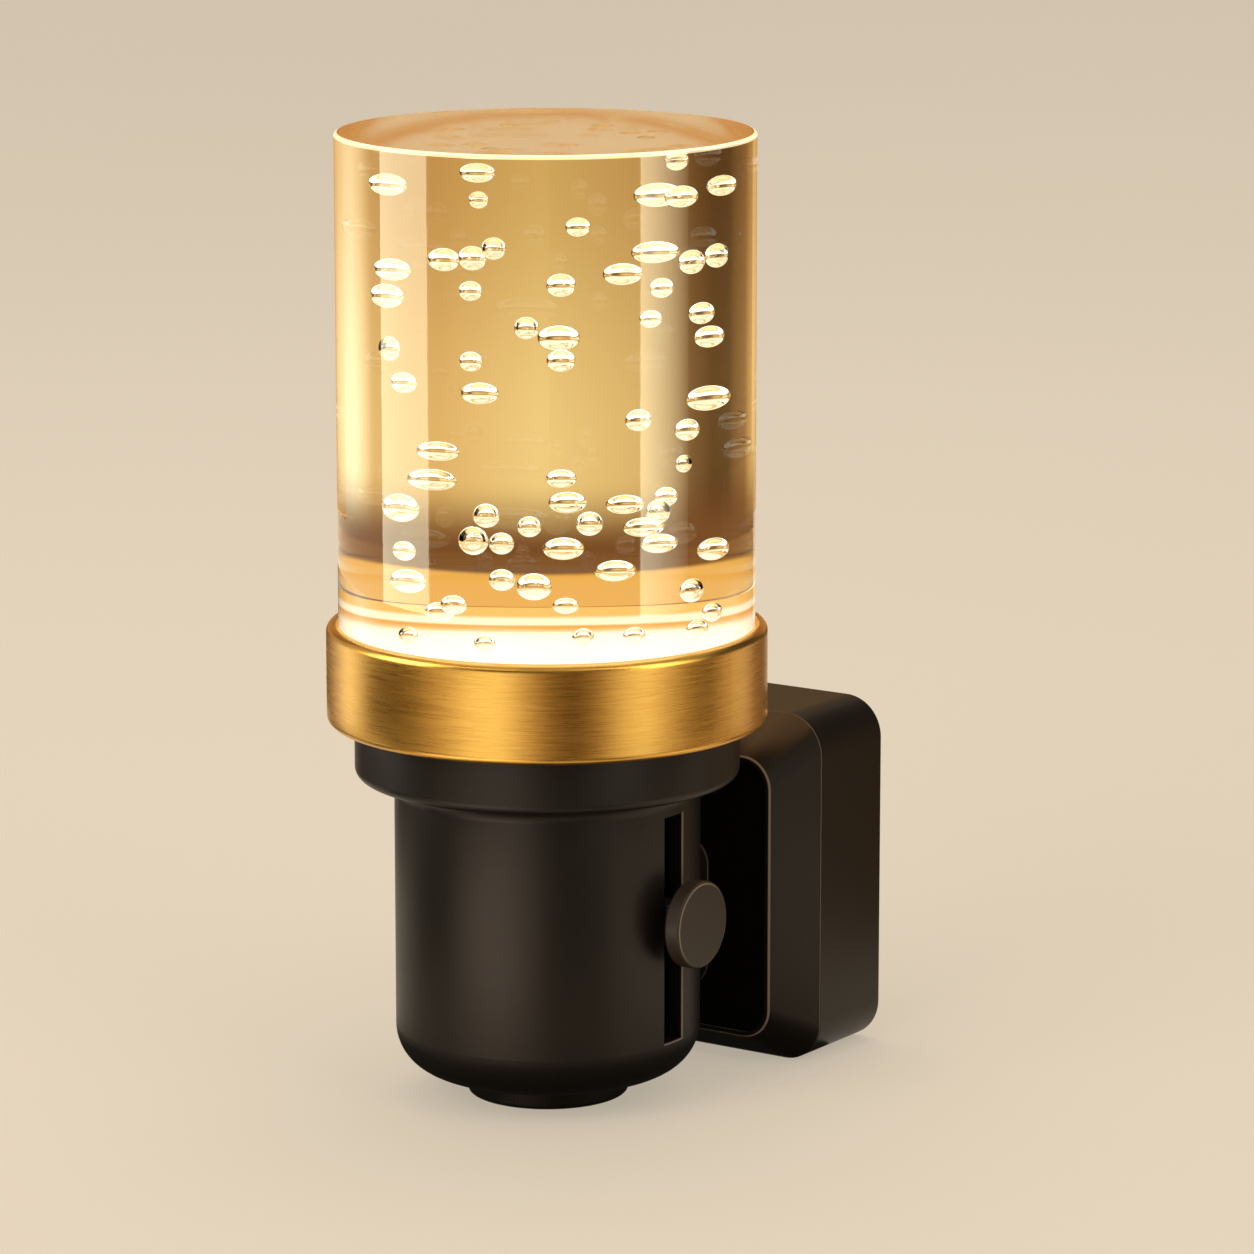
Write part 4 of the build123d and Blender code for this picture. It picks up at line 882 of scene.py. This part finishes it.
def column_profile():
    """Radius and height from the rim of the flat foot, round both edges, to the rim of the flat top."""
    foot, top = crystal_low.z + FOOT_LIFT, crystal_high.z
    arc = [radians(90 * step / EDGE_STEPS) for step in range(EDGE_STEPS + 1)]
    side = crystal_radius - EDGE
    low_edge = [(side + EDGE * sin(turn), foot + EDGE - EDGE * cos(turn)) for turn in arc]
    high_edge = [(side + EDGE * cos(turn), top - EDGE + EDGE * sin(turn)) for turn in arc]
    rims = [(crystal_radius, foot + EDGE + RIM), (crystal_radius, SEAT_TOP), (crystal_radius, top - EDGE - RIM)]
    return [(side - RIM, foot), *low_edge, *rims, *high_edge, (side - RIM, top)]


def layer(height):
    """Which finish a face of the column takes at its height."""
    if height < SEAT_TOP:
        return FOOT
    if height > crystal_high.z - RIM:
        return TOP
    return LIT_EDGE if height > crystal_high.z - EDGE else CLEAR


profile = column_profile()
print("profile:", len(profile), "points, foot at", round(profile[0][1] / MM, 2), "mm")

# %% Turn the column
import bmesh

AROUND = 224
turns = [2 * pi * step / AROUND for step in range(AROUND)]
column = bmesh.new()
loops = []
for radius, height in profile:
    loops.append([column.verts.new((axis.x + radius * sin(t), axis.y - radius * cos(t), height)) for t in turns])
for low_loop, high_loop in zip(loops, loops[1:]):
    for step in range(AROUND):
        after = (step + 1) % AROUND
        column.faces.new((low_loop[step], low_loop[after], high_loop[after], high_loop[step]))
column.faces.new(loops[-1])
column.faces.new(reversed(loops[0]))
for face in column.faces:
    face.smooth = True
    face.material_index = layer(face.calc_center_median().z)
column_mesh = bpy.data.meshes.new("crystal_column_clear")
column.to_mesh(column_mesh)
column.free()
print("column:", len(column_mesh.vertices), "points")

# %% [markdown]
# ## Find the bubbles
# Each bubble is a small round hollow. The packed solid already holds every bubble as a loose shell, so their
# places needn't be written here again. A merged copy of the solid is taken apart, shell by shell, by walking along
# its edges. The widest shell is the column itself, and each of the others gives a bubble's middle and radius.
# They are put in order of size and place, so that every run makes them in the same order.

# %% Read the bubbles from the packed solid
MERGE_WITHIN = 0.001 * MM
solid = bmesh.new()
solid.from_mesh(frame["nodes"]["crystal_column"].data)
bmesh.ops.remove_doubles(solid, verts=solid.verts, dist=MERGE_WITHIN)
unseen = set(solid.verts)
shells = []
while unseen:
    shell, edge_of_shell = set(), [unseen.pop()]
    while edge_of_shell:
        vert = edge_of_shell.pop()
        shell.add(vert)
        near = {edge.other_vert(vert) for edge in vert.link_edges} & unseen
        unseen -= near
        edge_of_shell.extend(near)
    places_along = [[vert.co[number] for vert in shell] for number in range(3)]
    shells.append([(min(places), max(places)) for places in places_along])
solid.free()
shells.sort(key=lambda box: (box[0][1] - box[0][0], box))
bubbles = [(Vector([sum(ends) / 2 for ends in box]), sum(high - low for low, high in box) / 6) for box in shells[:-1]]
print(len(bubbles), "bubbles, radius", round(bubbles[0][1] / MM, 2), "to", round(bubbles[-1][1] / MM, 2), "mm")

# %% [markdown]
# ## Make the bubbles
# Sixty-six like balls of different size are a job for Geometry Nodes: a cloud of points, one for each bubble, and
# a ball on each point. A bubble's wall faces inwards, into the air, so each ball is turned inside out. They are
# made real in the tree and kept as a plain mesh.

# %% A cloud of points and a tree of nodes
cloud = bpy.data.meshes.new("bubble_middles")
cloud.from_pydata([middle for middle, _ in bubbles], [], [])
sizes = cloud.attributes.new("bubble_radius", "FLOAT", "POINT")
sizes.data.foreach_set("value", [radius for _, radius in bubbles])

bubble_tree = bpy.data.node_groups.new("bubbles", "GeometryNodeTree")
bubble_tree.interface.new_socket("Middles", in_out="INPUT", socket_type="NodeSocketGeometry")
roundness = bubble_tree.interface.new_socket("Roundness", in_out="INPUT", socket_type="NodeSocketInt")
wall = bubble_tree.interface.new_socket("Wall", in_out="INPUT", socket_type="NodeSocketMaterial")
bubble_tree.interface.new_socket("Bubbles", in_out="OUTPUT", socket_type="NodeSocketGeometry")


def join(kind, links=(), **settings):
    """One node of the bubbles' tree with its settings, then its links or values; gives its outputs."""
    made = bubble_tree.nodes.new(kind)
    for name, value in settings.items():
        setattr(made, name, value)
    for name, value in dict(links).items():
        if isinstance(value, bpy.types.NodeSocket):
            bubble_tree.links.new(value, made.inputs[name])
        else:
            made.inputs[name].default_value = value
    return made.outputs


start = join("NodeGroupInput")
ball = join("GeometryNodeMeshIcoSphere", {"Radius": 1.0, "Subdivisions": start["Roundness"]})
hollow = join("GeometryNodeFlipFaces", {"Mesh": ball["Mesh"]})
size = join("GeometryNodeInputNamedAttribute", {"Name": "bubble_radius"}, data_type="FLOAT")
placed = join("GeometryNodeInstanceOnPoints", {
    "Points": start["Middles"], "Instance": hollow["Mesh"], "Scale": size["Attribute"],
})
real = join("GeometryNodeRealizeInstances", {"Geometry": placed["Instances"]})
smooth = join("GeometryNodeSetShadeSmooth", {"Geometry": real["Geometry"], "Shade Smooth": True})
painted = join("GeometryNodeSetMaterial", {"Geometry": smooth["Geometry"], "Material": start["Wall"]})
join("NodeGroupOutput", {"Bubbles": painted["Geometry"]})
print("bubbles' tree:", len(bubble_tree.nodes), "nodes")

# %% Run the tree once and keep its mesh
BUBBLE_ROUNDNESS = 4
maker = put("bubble_maker", cloud)
modifier = maker.modifiers.new("bubbles", "NODES")
modifier.node_group = bubble_tree
modifier[roundness.identifier] = BUBBLE_ROUNDNESS
modifier[wall.identifier] = crystal_finish
made = maker.evaluated_get(bpy.context.evaluated_depsgraph_get())
bubble_mesh = bpy.data.meshes.new_from_object(made)
maker.modifiers.remove(modifier)
bpy.data.objects.remove(maker)
print("bubbles:", len(bubble_mesh.polygons), "faces")

# %% [markdown]
# ## One crystal
# Light has to pass from the resin into each bubble and out again, so column and bubbles are one mesh, and the
# bubbles' walls have the same clear finish as the side. The piece stands for the packed solid and moves with
# the lamp.

# %% Column and bubbles as one piece
whole = bmesh.new()
whole.from_mesh(bubble_mesh)
for face in whole.faces:
    face.material_index = CLEAR
whole.from_mesh(column_mesh)
crystal_mesh = bpy.data.meshes.new("crystal_with_bubbles")
whole.to_mesh(crystal_mesh)
whole.free()
for finish in crystal_layers:
    crystal_mesh.materials.append(finish)
crystal = put("crystal_with_bubbles", crystal_mesh)
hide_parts("crystal_column")
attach(crystal, "lamp")
print("crystal:", len(crystal_mesh.polygons), "faces")

# %% [markdown]
# ## The end
# The dressed light must stay in the space of its solids.

# %% The end
import json
